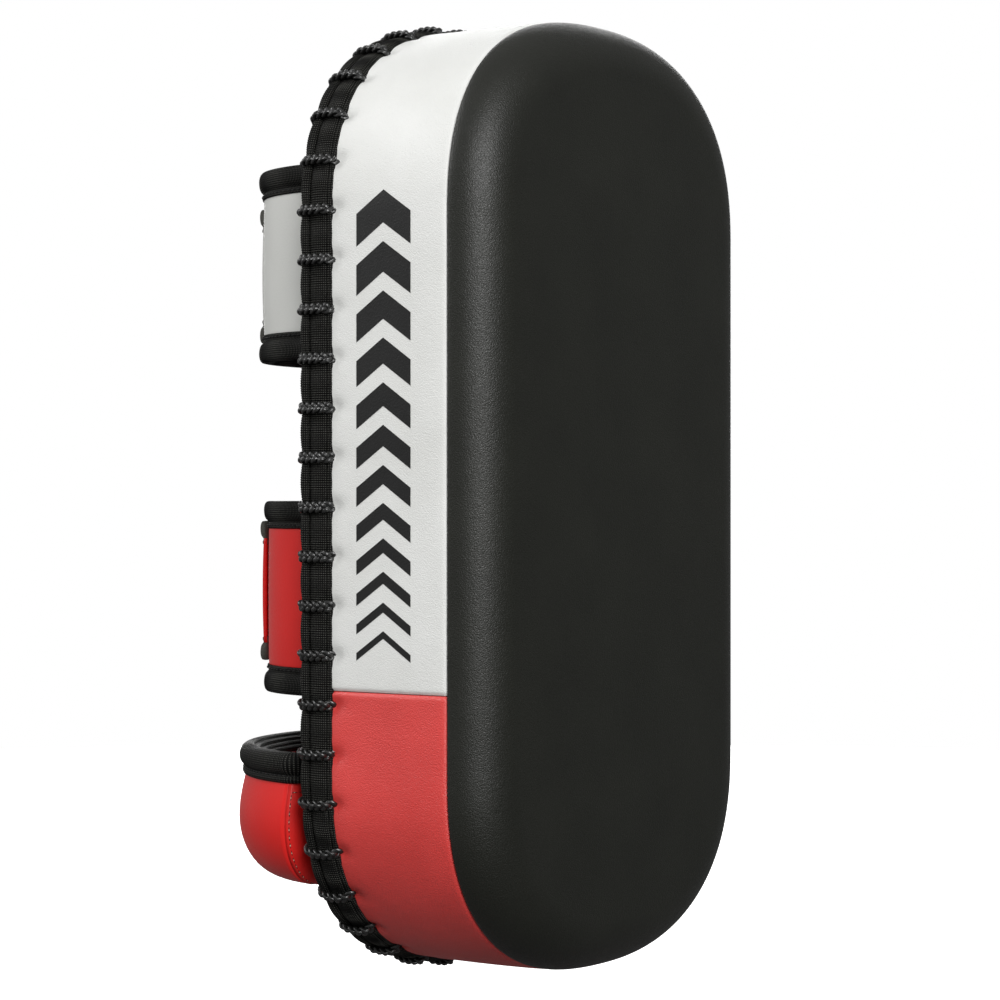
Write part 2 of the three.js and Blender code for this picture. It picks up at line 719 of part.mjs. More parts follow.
// A rolled binding over the whole thickness of the cup's rim.
function cupRimBinding() {
  const wall = CUP_LEATHER + CUP_PADDING + CUP_LINING + 6 * GAP;
  const outer = (z) => cupSection(z, -CUP_RIM_PROUD);
  const inner = (z) => cupSection(z, wall + CUP_RIM_PROUD);
  const top = CUP_RIM_Z;
  const bottom = CUP_RIM_Z - CUP_RIM_BINDING;
  const shoulder = top - CUP_RIM_SHOULDER;
  const rings = outer(shoulder).map((_, i) => [
    outer(bottom)[i], outer(shoulder)[i], cupSection(top, wall / 4)[i],
    cupSection(top, (3 * wall) / 4)[i], inner(shoulder)[i], inner(bottom)[i],
  ]);
  return loft(rings);
}

// ---------- assembly ----------
function makeBody() {
  return [
    ['strike_face_cover', strikeFaceCover(), leather(BLACK_LEATHER)],
    ['gusset_white', gussetPanel(false), leather(WHITE_LEATHER)],
    ['gusset_red', gussetPanel(true), leather(RED_LEATHER)],
    ['back_panel', backPanel(), leather(BLACK_LEATHER)],
    ['foam_front', foamFront(), foam(GREY_FOAM)],
    ['foam_core', foamCore(), foam(GREY_FOAM)],
    ['foam_back', foamBack(), foam(GREY_FOAM)],
    ['gusset_binding', gussetBinding(), webbing(BLACK_WEBBING)],
    ['back_binding', backBinding(), webbing(BLACK_WEBBING)],
    ['lacing_cord', lacingCord(), webbing(BLACK_CORD)],
  ];
}

const STRAPS = [
  {
    name: 'upper', rise: 70.9, baseZ: [56.5, 136.8], closureZ: [65.9, 122.7], closureEndX: -41.5,
    color: WHITE_LEATHER,
  },
  {
    name: 'lower', rise: 67.4, baseZ: [-82.4, -2], closureZ: [-70.1, -10.5], closureEndX: -49,
    color: RED_LEATHER,
  },
];

const thaiPad = new THREE.Group();
thaiPad.name = 'thai_pad';
for (const [name, geometry, material] of [
  ...makeBody(),
  ...STRAPS.flatMap(makeStrap),
  ...makeGrip(),
  ...makeCup(),
]) {
  const mesh = new THREE.Mesh(geometry, material);
  mesh.name = name;
  thaiPad.add(mesh);
}

export default thaiPad;
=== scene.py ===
"""The looks of a thai pad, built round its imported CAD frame. Lengths are in mm until a mesh is made."""

import math
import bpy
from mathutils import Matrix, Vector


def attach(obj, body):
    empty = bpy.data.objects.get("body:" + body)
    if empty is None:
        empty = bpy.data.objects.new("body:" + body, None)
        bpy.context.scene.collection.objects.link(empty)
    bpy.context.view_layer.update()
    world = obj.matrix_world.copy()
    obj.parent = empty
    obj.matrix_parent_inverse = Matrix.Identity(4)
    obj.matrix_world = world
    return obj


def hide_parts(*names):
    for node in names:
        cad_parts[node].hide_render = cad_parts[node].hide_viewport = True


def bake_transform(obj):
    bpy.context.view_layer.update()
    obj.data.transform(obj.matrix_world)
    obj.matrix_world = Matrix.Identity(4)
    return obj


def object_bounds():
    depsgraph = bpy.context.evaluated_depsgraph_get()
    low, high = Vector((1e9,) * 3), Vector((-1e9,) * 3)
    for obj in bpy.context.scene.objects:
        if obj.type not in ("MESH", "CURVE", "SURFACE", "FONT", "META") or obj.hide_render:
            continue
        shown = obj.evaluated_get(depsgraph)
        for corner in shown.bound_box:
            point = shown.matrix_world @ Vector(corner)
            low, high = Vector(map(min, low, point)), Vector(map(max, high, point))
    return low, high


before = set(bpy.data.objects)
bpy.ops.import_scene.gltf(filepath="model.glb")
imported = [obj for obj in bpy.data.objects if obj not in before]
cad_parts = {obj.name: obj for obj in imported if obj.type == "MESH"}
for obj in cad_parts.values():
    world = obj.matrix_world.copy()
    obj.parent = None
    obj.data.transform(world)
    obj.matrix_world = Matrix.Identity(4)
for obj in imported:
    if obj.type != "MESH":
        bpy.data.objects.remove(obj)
CAD_BOX = [list(corner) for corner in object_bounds()]

import bpy
import numpy as np
from mathutils import Vector

MM = 0.001

# ---------- dimensions shared with the CAD part ----------
HALF_WIDTH, HALF_HEIGHT = 98.0, 195.0
CAP_HEIGHT, CAP_POWER = 84.7, 0.84
STRAIGHT_HALF = HALF_HEIGHT - CAP_HEIGHT
SEAM_Y, CROWN, CROWN_BORDER = -71.0, 20.0, 22.0
COLOUR_SEAM_Z = -78.0
STITCH_COUNT, LACE_START_Z = 52, -4.4
RIB_MM, RIB_SAMPLES = 1.0, 4
ARCH_HALF_SPAN, ARCH_POWER, ARCH_START_Y = 78.0, 2.5, 8.5
BASE_FLAP_END_X = 35.0
# Side 1 starts at the right foot. A tape is (width, thickness, width of its flat lip).
FLAPS = {
    "base": {"side": -1, "leather": 2.0, "leather_inset": 10.0, "tape": (11.6, 6.4, 2.6), "thread_out": 1.95},
    "closure": {"side": 1, "leather": 1.4, "leather_inset": 7.5, "tape": (10.2, 4.6, 2.4), "thread_out": 1.4},
}
TAPE_START, LIP_THREAD_INSET, PATCH_THICKNESS = 17.5, 1.1, 0.5
STRAPS = (
    {"name": "upper", "rise": 70.9, "base_z": (56.5, 136.8), "closure_z": (65.9, 123.7),
     "closure_end_x": -41.5, "slot": "white_leather", "leather": "shaded_white_strap_leather"},
    {"name": "lower", "rise": 67.4, "base_z": (-82.4, -2.0), "closure_z": (-70.1, -10.5),
     "closure_end_x": -49.0, "slot": "red_leather", "leather": "red_smooth_leather"},
)
GRIP_Z, GRIP_HALF_SPAN, GRIP_RISE, GRIP_ARCH_POWER = 158.0, 42.0, 40.0, 2.3
GRIP_RADIUS, GRIP_CORE_RADIUS, GRIP_ANCHOR_RADIUS = 12.0, 5.0, 12.0
CUP_HALF_WIDTH, CUP_DEPTH, CUP_BULGE = 92.0, 83.0, 3.0
CUP_RIM_Z, CUP_RIM_BINDING = -104.7, 12.3
CUP_FLOOR_Z, CUP_FLOOR_RISE, CUP_FLOOR_INSET = -160.0, 25.0, 19.0
CUP_SEAM_Y, CUP_FOOT_X, CUP_FOOT_MARGIN = 14.0, 75.0, 17.0


# ---------- shader nodes ----------
def new_material(name):
    mat = bpy.data.materials.new(name)
    mat.use_nodes = True
    tree = mat.node_tree
    return mat, tree, tree.nodes["Principled BSDF"]


def node(tree, kind, inputs=None, **settings):
    made = tree.nodes.new(kind)
    for key, value in settings.items():
        setattr(made, key, value)
    for key, value in (inputs or {}).items():
        if hasattr(value, "is_output"):
            tree.links.new(value, made.inputs[key])
        else:
            made.inputs[key].default_value = value
    return made


def full_turn(count):
    """Even angles round a circle."""
    return np.linspace(0, 2 * math.pi, count + 1)[:-1]


def math_node(tree, operation, a, b=0.0, c=0.0):
    return node(tree, "ShaderNodeMath", {0: a, 1: b, 2: c}, operation=operation).outputs[0]


# ---------- camera, light and floor ----------
# These are in metres. The camera is fitted to the pad's outline.
CAMERA_PLACE, CAMERA_AIM = (-1.01067, -0.74860, -0.00160), (0.8138, 0.5812, 0.0)
CAMERA_LENS, CAMERA_SENSOR, CAMERA_NEAR, CAMERA_FAR = 105.27, 36.0, 0.05, 20.0
# Name, place, side length and power in watts.
LIGHTS = (
    ("key_front", (-1.25, -1.55, 0.75), 1.0, 36.5),
    ("key_rear", (-0.85, 1.35, 1.0), 0.9, 11.5),
    ("rear", (1.3, 0.95, 0.6), 1.2, 15.0),
)
WORLD_LIGHT, WORLD_LEAN = 0.3, (-0.12, 0.03, 0.16)
FLOOR_RADIUS, FLOOR_DROP, FLOOR_BOUNCE, FLOOR_GLOW = 1.5, 0.03, 0.16, 0.99


def make_camera():
    data = bpy.data.cameras.new("photo_camera")
    data.lens, data.sensor_width = CAMERA_LENS, CAMERA_SENSOR
    data.clip_start, data.clip_end = CAMERA_NEAR, CAMERA_FAR
    camera = bpy.data.objects.new("photo_camera", data)
    camera.location = CAMERA_PLACE
    camera.rotation_euler = Vector(CAMERA_AIM).to_track_quat("-Z", "Y").to_euler()
    bpy.context.scene.collection.objects.link(camera)
    bpy.context.scene.camera = camera


def soft_light(name, place, size, power):
    """A square light aimed at the middle of the pad."""
    data = bpy.data.lights.new(name, "AREA")
    data.shape = "SQUARE"
    data.size = size
    data.energy = power
    light = bpy.data.objects.new(name, data)
    light.location = place
    light.rotation_euler = (-Vector(place)).to_track_quat("-Z", "Y").to_euler()
    bpy.context.scene.collection.objects.link(light)


def make_world():
    """White behind the object. Its light is softer, and strongest from above and from the left."""
    world = bpy.data.worlds.new("studio")
    bpy.context.scene.world = world
    world.use_nodes = True
    tree = world.node_tree
    tree.nodes.clear()
    out = tree.nodes.new("ShaderNodeOutputWorld")
    direction = node(tree, "ShaderNodeTexCoord").outputs["Generated"]
    lean = node(tree, "ShaderNodeVectorMath", {0: direction, 1: WORLD_LEAN}, operation="DOT_PRODUCT")
    strength = math_node(tree, "ADD", lean.outputs["Value"], WORLD_LIGHT)
    is_seen = node(tree, "ShaderNodeLightPath").outputs["Is Camera Ray"]
    lighting = node(tree, "ShaderNodeBackground", {"Color": (1, 1, 1, 1), "Strength": strength})
    seen = node(tree, "ShaderNodeBackground", {"Color": (1, 1, 1, 1), "Strength": 1.0})
    mix = node(tree, "ShaderNodeMixShader", {0: is_seen, 1: lighting.outputs[0], 2: seen.outputs[0]})
    tree.links.new(mix.outputs[0], out.inputs["Surface"])


def make_floor():
    """A pale round floor just under the pad."""
    mesh = bpy.data.meshes.new("floor")
    level = CAD_BOX[0][2] - FLOOR_DROP
    ring = [(FLOOR_RADIUS * math.cos(turn), FLOOR_RADIUS * math.sin(turn), level) for turn in full_turn(96)]
    mesh.from_pydata(ring, [], [list(range(len(ring)))])
    floor = bpy.data.objects.new("floor", mesh)
    bpy.context.scene.collection.objects.link(floor)
    mat = bpy.data.materials.new("floor_white")
    mat.use_nodes = True
    tree = mat.node_tree
    tree.nodes.clear()
    out = tree.nodes.new("ShaderNodeOutputMaterial")
    is_seen = node(tree, "ShaderNodeLightPath").outputs["Is Camera Ray"]
    dull = node(tree, "ShaderNodeBsdfDiffuse", {"Color": (FLOOR_BOUNCE, FLOOR_BOUNCE, FLOOR_BOUNCE, 1)})
    pale = node(tree, "ShaderNodeBsdfDiffuse", {"Color": (0.9, 0.9, 0.9, 1)})
    glow = node(tree, "ShaderNodeEmission", {"Color": (1, 1, 1, 1), "Strength": FLOOR_GLOW})
    white = node(tree, "ShaderNodeAddShader", {0: pale.outputs[0], 1: glow.outputs[0]})
    mix = node(tree, "ShaderNodeMixShader", {0: is_seen, 1: dull.outputs[0], 2: white.outputs[0]})
    tree.links.new(mix.outputs[0], out.inputs["Surface"])
    mesh.materials.append(mat)


def make_studio():
    bpy.context.scene.view_settings.view_transform = "Standard"
    make_camera()
    make_world()
    make_floor()
    for light in LIGHTS:
        soft_light(*light)


# ---------- materials ----------
def place_mm(tree):
    """The place on the piece at rest, in millimetres, which stays with the cloth as it moves."""
    return node(tree, "ShaderNodeAttribute", attribute_name="place_mm").outputs["Vector"]


def noise(tree, where, scale, detail=3.0, roughness=0.5):
    inputs = {"Vector": where, "Scale": scale, "Detail": detail, "Roughness": roughness}
    return node(tree, "ShaderNodeTexNoise", inputs).outputs["Fac"]


def range_node(tree, factor, low, high, out_low=0.0, out_high=1.0):
    return node(tree, "ShaderNodeMapRange", {0: factor, 1: low, 2: high, 3: out_low, 4: out_high}).outputs[0]


def colour_between(tree, factor, low, high, dark, light):
    """Runs from dark to light as the factor goes from low to high."""
    mix = node(tree, "ShaderNodeMix", {0: range_node(tree, factor, low, high)}, data_type="RGBA")
    mix.inputs[6].default_value = (*dark, 1)
    mix.inputs[7].default_value = (*light, 1)
    return mix.outputs[2]


def bump(tree, shader, height, depth_mm, before=None):
    made = node(tree, "ShaderNodeBump", {"Height": height, "Strength": 1.0, "Distance": depth_mm * MM})
    if before is not None:
        tree.links.new(before.outputs[0], made.inputs["Normal"])
    tree.links.new(made.outputs[0], shader.inputs["Normal"])
    return made


def leather_material(name, dark, light, grain_mm, grain_depth, roughness, specular, spread=0.06):
    """Synthetic leather: fine pebbles, faint creases and slow changes of tone."""
    mat, tree, shader = new_material(name)
    where = place_mm(tree)
    slow = noise(tree, where, 0.03, 2.0)
    fine = noise(tree, where, 1.0 / grain_mm, 2.0, 0.6)
    tone = math_node(tree, "MULTIPLY_ADD", slow, 0.7, math_node(tree, "MULTIPLY", fine, 0.3))
    tree.links.new(colour_between(tree, tone, 0.3, 0.7, dark, light), shader.inputs["Base Color"])
    inputs = {"Vector": where, "Scale": 0.8 / grain_mm}
    cells = node(tree, "ShaderNodeTexVoronoi", inputs, feature="SMOOTH_F1")
    pebbles = math_node(tree, "SUBTRACT", 1.0, cells.outputs["Distance"])
    height = math_node(tree, "MULTIPLY_ADD", pebbles, 0.7, math_node(tree, "MULTIPLY", fine, 0.6))
    grain = bump(tree, shader, height, grain_depth)
    creases = noise(tree, where, 0.12, 2.0, 0.5)
    bump(tree, shader, creases, grain_depth * 0.6, grain)
    uneven = range_node(tree, fine, 0.35, 0.65, roughness - spread, roughness + spread)
    tree.links.new(uneven, shader.inputs["Roughness"])
    shader.inputs["Specular IOR Level"].default_value = specular
    return mat


def webbing_material(dark, light, row_mm):
    """Woven tape: cross ribs broken into small floats of thread. U runs along the tape and V across it. Its
    colour carries painted light: near black in the gaps between floats, where shade falls, and lighter on the
    float crests as a painted highlight.
    """
    mat, tree, shader = new_material("webbing_black")
    uv = node(tree, "ShaderNodeUVMap", uv_map="tape_mm").outputs[0]
    split = node(tree, "ShaderNodeSeparateXYZ", {0: uv})
    along, across = split.outputs[0], split.outputs[1]
    ribs = math_node(tree, "COSINE", math_node(tree, "MULTIPLY", along, 2 * math.pi / RIB_MM))
    rows = math_node(tree, "COSINE", math_node(tree, "MULTIPLY", across, 2 * math.pi / row_mm))
    float_relief_and_painted_light = math_node(tree, "MULTIPLY", math_node(tree, "MULTIPLY_ADD", ribs, 0.5, 0.5),
                       math_node(tree, "MULTIPLY_ADD", rows, 0.35, 0.65))
    fuzz = noise(tree, place_mm(tree), 3.0, 3.0, 0.7)
    tone = math_node(tree, "MULTIPLY", float_relief_and_painted_light, math_node(tree, "ADD", fuzz, 0.5))
    # The float pattern paints shade into the gaps between floats and a highlight onto their crests. The same
    # pattern also raises the floats in the bump.
    tree.links.new(colour_between(tree, tone, 0.45, 1.05, dark, light), shader.inputs["Base Color"])
    bump(tree, shader, math_node(tree, "ADD", float_relief_and_painted_light, math_node(tree, "MULTIPLY", fuzz, 0.3)), 0.3)
    shader.inputs["Roughness"].default_value = 0.6
    shader.inputs["Specular IOR Level"].default_value = 0.12
    return mat


def thread_material(name, dark, light, twist_mm, roughness, specular=0.3):
    """Filaments twisted along a strand. U runs along it and V round it."""
    mat, tree, shader = new_material(name)
    uv = node(tree, "ShaderNodeUVMap", uv_map="tape_mm").outputs[0]
    split = node(tree, "ShaderNodeSeparateXYZ", {0: uv})
    turn = math_node(tree, "MULTIPLY_ADD", split.outputs[0], 0.35, split.outputs[1])
    fibres = math_node(tree, "COSINE", math_node(tree, "MULTIPLY", turn, 2 * math.pi / twist_mm))
    fuzz = noise(tree, place_mm(tree), 1.6, 2.0, 0.6)
    tone = math_node(tree, "ADD", math_node(tree, "MULTIPLY", fibres, 0.25), fuzz)
    tree.links.new(colour_between(tree, tone, 0.25, 0.85, dark, light), shader.inputs["Base Color"])
    bump(tree, shader, fibres, 0.02)
    shader.inputs["Roughness"].default_value = roughness
    shader.inputs["Specular IOR Level"].default_value = specular
    return mat


def foam_material():
    mat, tree, shader = new_material("foam_grey")
    coords = node(tree, "ShaderNodeTexCoord").outputs["Object"]
    cells = node(tree, "ShaderNodeTexVoronoi", {"Vector": coords, "Scale": 900.0}).outputs["Distance"]
    tone = colour_between(tree, cells, 0.0, 0.9, (0.3, 0.31, 0.32), (0.5, 0.51, 0.52))
    tree.links.new(tone, shader.inputs["Base Color"])
    bump(tree, shader, cells, 0.4)
    shader.inputs["Roughness"].default_value = 0.95
    return mat


def pile_material():
    """Hook and loop tape: a dense short pile."""
    mat, tree, shader = new_material("pile_black")
    fuzz = noise(tree, place_mm(tree), 2.2, 4.0, 0.8)
    tone = colour_between(tree, fuzz, 0.35, 0.7, (0.004, 0.004, 0.004), (0.022, 0.022, 0.021))
    tree.links.new(tone, shader.inputs["Base Color"])
    bump(tree, shader, fuzz, 0.9)
    shader.inputs["Roughness"].default_value = 0.95
    shader.inputs["Sheen Weight"].default_value = 0.04
    return mat


MATERIALS = {
    "black_leather": leather_material("leather_black", (0.0065, 0.0072, 0.0046), (0.0105, 0.0113, 0.0078),
                                      grain_mm=0.4, grain_depth=0.16, roughness=0.44, specular=0.45,
                                      spread=0.14),
    "white_leather": leather_material("leather_white", (0.72, 0.725, 0.7), (0.8, 0.805, 0.785),
                                      grain_mm=0.38, grain_depth=0.2, roughness=0.46, specular=0.5),
    # The upper strap's copy of the white leather. Its shallower grain and low specular are its own finish,
    # and its darker base colour is painted shade.
    "shaded_white_strap_leather": leather_material("leather_white_strap_painted_shade", (0.68, 0.685, 0.655), (0.74, 0.745, 0.715),
                                            grain_mm=0.7, grain_depth=0.05, roughness=0.5, specular=0.2),
    "red_leather": leather_material("leather_red", (0.64, 0.036, 0.031), (0.78, 0.052, 0.046),
                                    grain_mm=0.4, grain_depth=0.24, roughness=0.42, specular=0.95),
    "red_smooth_leather": leather_material("leather_red_smooth", (0.72, 0.017, 0.015), (0.8, 0.022, 0.019),
                                           grain_mm=0.8, grain_depth=0.04, roughness=0.36, specular=0.25),
    "black_print": leather_material("print_black", (0.006, 0.006, 0.006), (0.011, 0.011, 0.011),
                                    grain_mm=0.6, grain_depth=0.1, roughness=0.42, specular=0.4),
    "black_webbing": webbing_material((0.001, 0.001, 0.0008), (0.1, 0.1, 0.088), row_mm=0.9),
    "black_cord": thread_material("cord_black", (0.002, 0.002, 0.002), (0.014, 0.0145, 0.0135),
                                  twist_mm=0.5, roughness=0.3, specular=0.8),
    "cream_thread": thread_material("thread_cream", (0.42, 0.3, 0.22), (0.7, 0.56, 0.42),
                                    twist_mm=0.3, roughness=0.6),
    "black_thread": thread_material("thread_black", (0.003, 0.003, 0.003), (0.012, 0.012, 0.012),
                                    twist_mm=0.3, roughness=0.5, specular=0.2),
    "hook_and_loop": pile_material(),
    "grey_foam": foam_material(),
}


# ---------- meshes ----------
def make_mesh(name, points, faces, material, corner_uv=None):
    mesh = bpy.data.meshes.new(name)
    mesh.from_pydata((np.asarray(points, float) * MM).tolist(), [], faces)
    place = mesh.attributes.new("place_mm", "FLOAT_VECTOR", "POINT")
    place.data.foreach_set("vector", np.asarray(points, np.float32).ravel())
    if corner_uv is not None:
        layer = mesh.uv_layers.new(name="tape_mm")
        layer.uv.foreach_set("vector", np.asarray(corner_uv, np.float32).ravel())
    mesh.shade_smooth()
    mesh.materials.append(MATERIALS[material])
    made = bpy.data.objects.new(name, mesh)
    bpy.context.scene.collection.objects.link(made)
    return made


def steps_between(rows, is_loop):
    """Distance along, from the mean step between neighbouring rows."""
    following = np.roll(rows, -1, axis=0) if is_loop else rows[1:]
    current = rows if is_loop else rows[:-1]
    step = np.linalg.norm(following - current, axis=2).mean(axis=1)
    return np.concatenate([[0.0], np.cumsum(step)])


def signed_volume(corners):
    """Six times the volume between faces and the origin, positive when they face outwards."""
    return np.einsum("fk,fnk->", corners[:, 0], np.cross(corners[:, 1:-1], corners[:, 2:]))


def sweep(name, sections, material, is_ring=False):
    """A closed skin over closed sections. The end sections are capped unless the sections form a ring."""
    sections = np.asarray(sections, float)
    rows, columns = sections.shape[:2]
    along = steps_between(sections, is_ring)
    around = steps_between(sections.transpose(1, 0, 2), True)
    bays = rows if is_ring else rows - 1
    i, j = np.meshgrid(np.arange(bays), np.arange(columns), indexing="ij")
    i, j = i.ravel(), j.ravel()
    here, beyond = i * columns, (i + 1) % rows * columns
    beside = (j + 1) % columns
    quads = np.stack([here + j, beyond + j, beyond + beside, here + beside], 1)
    uv = np.stack([
        np.stack([along[i], around[j]], 1), np.stack([along[i + 1], around[j]], 1),
        np.stack([along[i + 1], around[j + 1]], 1), np.stack([along[i], around[j + 1]], 1)], 1).reshape(-1, 2)
    points = sections.reshape(-1, 3)
    volume = signed_volume(points[quads])
    faces = quads.tolist()
    if not is_ring:
        first = list(range(columns))
        last = [(rows - 1) * columns + k for k in reversed(first)]
        volume += signed_volume(points[[first, last]])
        faces += [first, last]
        uv = np.concatenate([uv, np.zeros((2 * columns, 2))])
    made = make_mesh(name, points, faces, material, uv)
    if volume < 0:
        made.data.flip_normals()
    return made


def finish_piece(piece, body, nodes=()):
    """Hides the CAD parts that a piece stands in for, and ties the piece to its body when the body is a name;
    otherwise it only bakes its transform. A strap's body is (fixed body, moving body, side), which is not
    used.
    """
    if nodes:
        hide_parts(*nodes)
    if isinstance(body, str):
        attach(piece, body)
    else:
        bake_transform(piece)


# ---------- curves ----------
def lengths_along(points):
    """The distance along a polyline at each of its points."""
    return np.concatenate([[0], np.cumsum(np.linalg.norm(np.diff(points, axis=0), axis=1))])


def read_along(at, reach, values):
    """Values known at some distances along a line, read at others."""
    return np.stack([np.interp(at, reach, column) for column in values.T], -1)


def curve_through(points, count=None, is_loop=False, step=None):
    """A smooth curve through points, resampled at even steps."""
    points = np.asarray(points, float)
    if is_loop:
        padded = np.concatenate([points[-1:], points, points[:2]])
    else:
        padded = np.concatenate([2 * points[:1] - points[1:2], points, 2 * points[-1:] - points[-2:-1]])
    t = np.linspace(0, 1, 25)[:-1][:, None]
    dense = []
    for k in range(1, len(padded) - 2):
        a, b, c, d = padded[k - 1:k + 3]
        dense.append(0.5 * (2 * b + (c - a) * t + (2 * a - 5 * b + 4 * c - d) * t**2
                            + (3 * b - a - 3 * c + d) * t**3))
    dense = np.concatenate([*dense, padded[-2:-1]])
    return resample(dense, count, step, is_loop)


def resample(points, count=None, step=None, is_loop=False, values=None):
    """Even steps along a polyline, or values given at its points. A loop's last point isn't repeated."""
    reach = lengths_along(points)
    if count is None:
        count = max(2, round(reach[-1] / step) + 1)
    at = np.linspace(0, reach[-1], count + 1)[:-1] if is_loop else np.linspace(0, reach[-1], count)
    return read_along(at, reach, points if values is None else values)


def directions(points, is_loop=False):
    if is_loop:
        run = np.roll(points, -1, axis=0) - np.roll(points, 1, axis=0)
    else:
        run = np.gradient(points, axis=0)
    return run / np.linalg.norm(run, axis=1, keepdims=True)


# ---------- the pad outline ----------
def cap_points(inset, count):
    angle = np.linspace(0, math.pi, count)
    x = (HALF_WIDTH - inset) * np.sign(np.cos(angle)) * np.abs(np.cos(angle)) ** CAP_POWER
    z = STRAIGHT_HALF + (CAP_HEIGHT - inset) * np.abs(np.sin(angle)) ** CAP_POWER
    return np.stack([x, z], 1)


CAP_POINTS = 4000


def outline_points(inset, count=CAP_POINTS):
    """The pad's outline in XZ, drawn in by an inset. Its first point is repeated at the end."""
    cap = cap_points(inset, count)
    return np.concatenate([cap, -cap, cap[:1]])


OUTLINE = outline_points(0)
REACH = lengths_along(OUTLINE)
PERIMETER = REACH[-1]
CAP_LENGTH = REACH[CAP_POINTS - 1]
LACE_STEP = PERIMETER / STITCH_COUNT
LACE_START = CAP_LENGTH + STRAIGHT_HALF - LACE_START_Z


def on_outline(distance):
    """Places (x, z) and outward normals at distances round the pad, anticlockwise from the right shoulder."""
    def at(shift):
        return read_along(np.mod(distance + shift, PERIMETER), REACH, OUTLINE)
    run = at(0.6) - at(-0.6)
    run /= np.linalg.norm(run, axis=-1, keepdims=True)
    return at(0), np.stack([run[..., 1], -run[..., 0]], -1)


def off_outline(distance, out, y):
    """Points at a distance round the pad, a distance out from its side, and a depth."""
    place, outward = on_outline(distance)
    x = place[..., 0] + outward[..., 0] * out
    z = place[..., 1] + outward[..., 1] * out
    return np.stack([x, np.broadcast_to(y, x.shape), z], -1)


def lace_phase(distance):
    """0 and 1 at a lacing stitch, a half between two."""
    return np.mod((distance - LACE_START) / LACE_STEP, 1.0)


def puff(distance):
    """How far the tape swells between two stitches, from 0 to 1."""
    return np.abs(np.sin(math.pi * lace_phase(distance))) ** 0.75


def pad_half_width(z):
    beyond = np.minimum(np.maximum(abs(z) - STRAIGHT_HALF, 0) / CAP_HEIGHT, 1) ** (1 / CAP_POWER)
    return HALF_WIDTH * np.sqrt(1 - beyond * beyond) ** CAP_POWER


# ---------- stitches ----------
# One thread: (share of its length, share of its radius).
THREAD_SHAPE = ((-0.5, 0.35), (-0.38, 0.8), (-0.15, 1.0), (0.15, 1.0), (0.38, 0.8), (0.5, 0.35))
THREAD_SIDES = 6


def stitch_row(name, path, normals, material, length=2.3, gap=1.0, radius=0.32, sink=0.1, is_loop=False):
    """Short rounded threads laid along a path."""
    if is_loop:
        path, normals = [np.concatenate([line, line[:1]]) for line in (path, normals)]
    reach = lengths_along(path)
    count = max(1, int(reach[-1] / (length + gap)))
    turn = full_turn(THREAD_SIDES)
    rings = []
    for k in range(count):
        for share, size in THREAD_SHAPE:
            at = (k + 0.5) * reach[-1] / count + share * length
            run = read_along(at + 0.2, reach, path) - read_along(at - 0.2, reach, path)
            run /= max(np.linalg.norm(run), 1e-9)
            side = np.cross(run, read_along(at, reach, normals))
            side /= max(np.linalg.norm(side), 1e-9)
            up = np.cross(side, run)
            middle = read_along(at, reach, path) + up * (0.8 * radius * (size - 1.0) - sink)
            rings.append(middle + radius * size * (np.cos(turn)[:, None] * side + np.sin(turn)[:, None] * up))
    points, faces = np.concatenate(rings), []
    around = np.arange(THREAD_SIDES)
    far_end = (len(THREAD_SHAPE) - 1) * THREAD_SIDES
    for base in range(0, len(points), len(THREAD_SHAPE) * THREAD_SIDES):
        for start in range(base, base + far_end, THREAD_SIDES):
            near, beside = start + around, start + np.roll(around, -1)
            faces += np.stack([near, beside, beside + THREAD_SIDES, near + THREAD_SIDES], 1).tolist()
        faces += [(base + around)[::-1].tolist(), (base + far_end + around).tolist()]
    uv = points[np.concatenate(faces)][:, [2, 0]]
    return make_mesh(name, points, faces, material, uv)


def facing_back(line):
    return np.tile([0.0, 1.0, 0.0], (len(line), 1))


# ---------- pad body ----------
WALL_PADDING, WALL_SWELL, DIMPLE_DEPTH, SEAM_ROLL = 0.5, 0.35, 1.35, 0.8
WALL_BACKING, SEAM_GAP = 2.0, 0.15


def wall_padding(y):
    """How far the side wall's padding stands out at a depth."""
    return WALL_PADDING * np.sin(math.pi * np.clip((y + 70) / 56, 0, 1)) ** 0.6


def gusset(colour, start, end):
    """The side wall between two places round the outline, drawn in at each lacing stitch."""
    lead = np.array([0.0, 0.25, 0.6, 1.1, 1.8, 2.8])
    middle = np.linspace(start + 4.0, end - 4.0, round((end - start) / 1.3))
    distance = np.concatenate([start + lead, middle, (end - lead)[::-1]])
    edge = np.minimum(distance - start, end - distance)
    front = np.array([(-2.6, -70.9), (-1.5, -71.0), (-0.8, -70.75), (-0.25, -70.2), (0.0, -69.4)])
    side_y = np.concatenate([np.linspace(-68.5, -28, 20), np.linspace(-26.5, -9, 19)])
    wall = np.stack([0 * side_y, side_y], 1)
    inner = np.array([(-WALL_BACKING, -9.0), (-WALL_BACKING, -40.0), (-WALL_BACKING, -69.0)])
    out, y = np.concatenate([front, wall, inner]).T
    is_wall = (np.arange(len(y)) >= len(front)) & (np.arange(len(y)) < len(front) + len(wall))
    from_stitch = (lace_phase(distance + LACE_STEP / 2) - 0.5)[:, None] * LACE_STEP
    dimple = DIMPLE_DEPTH * np.exp(-((from_stitch / 3.0) ** 2)) * np.exp(-(((y + 16.0) / 3.6) ** 2))
    swell = WALL_SWELL * (1 - np.exp(-((from_stitch / 4.5) ** 2))) * np.exp(-(((y + 17.0) / 7.0) ** 2))
    roll = SEAM_ROLL * np.exp(-((edge / 0.75) ** 2))[:, None]
    out = out + is_wall * (swell + wall_padding(y) - dimple) - roll * (out > 0.1 - WALL_BACKING)
    piece = sweep(f"gusset_leather_{colour}", off_outline(distance[:, None], out, y), f"{colour}_leather")
    finish_piece(piece, "pad", [f"gusset_{colour}"])


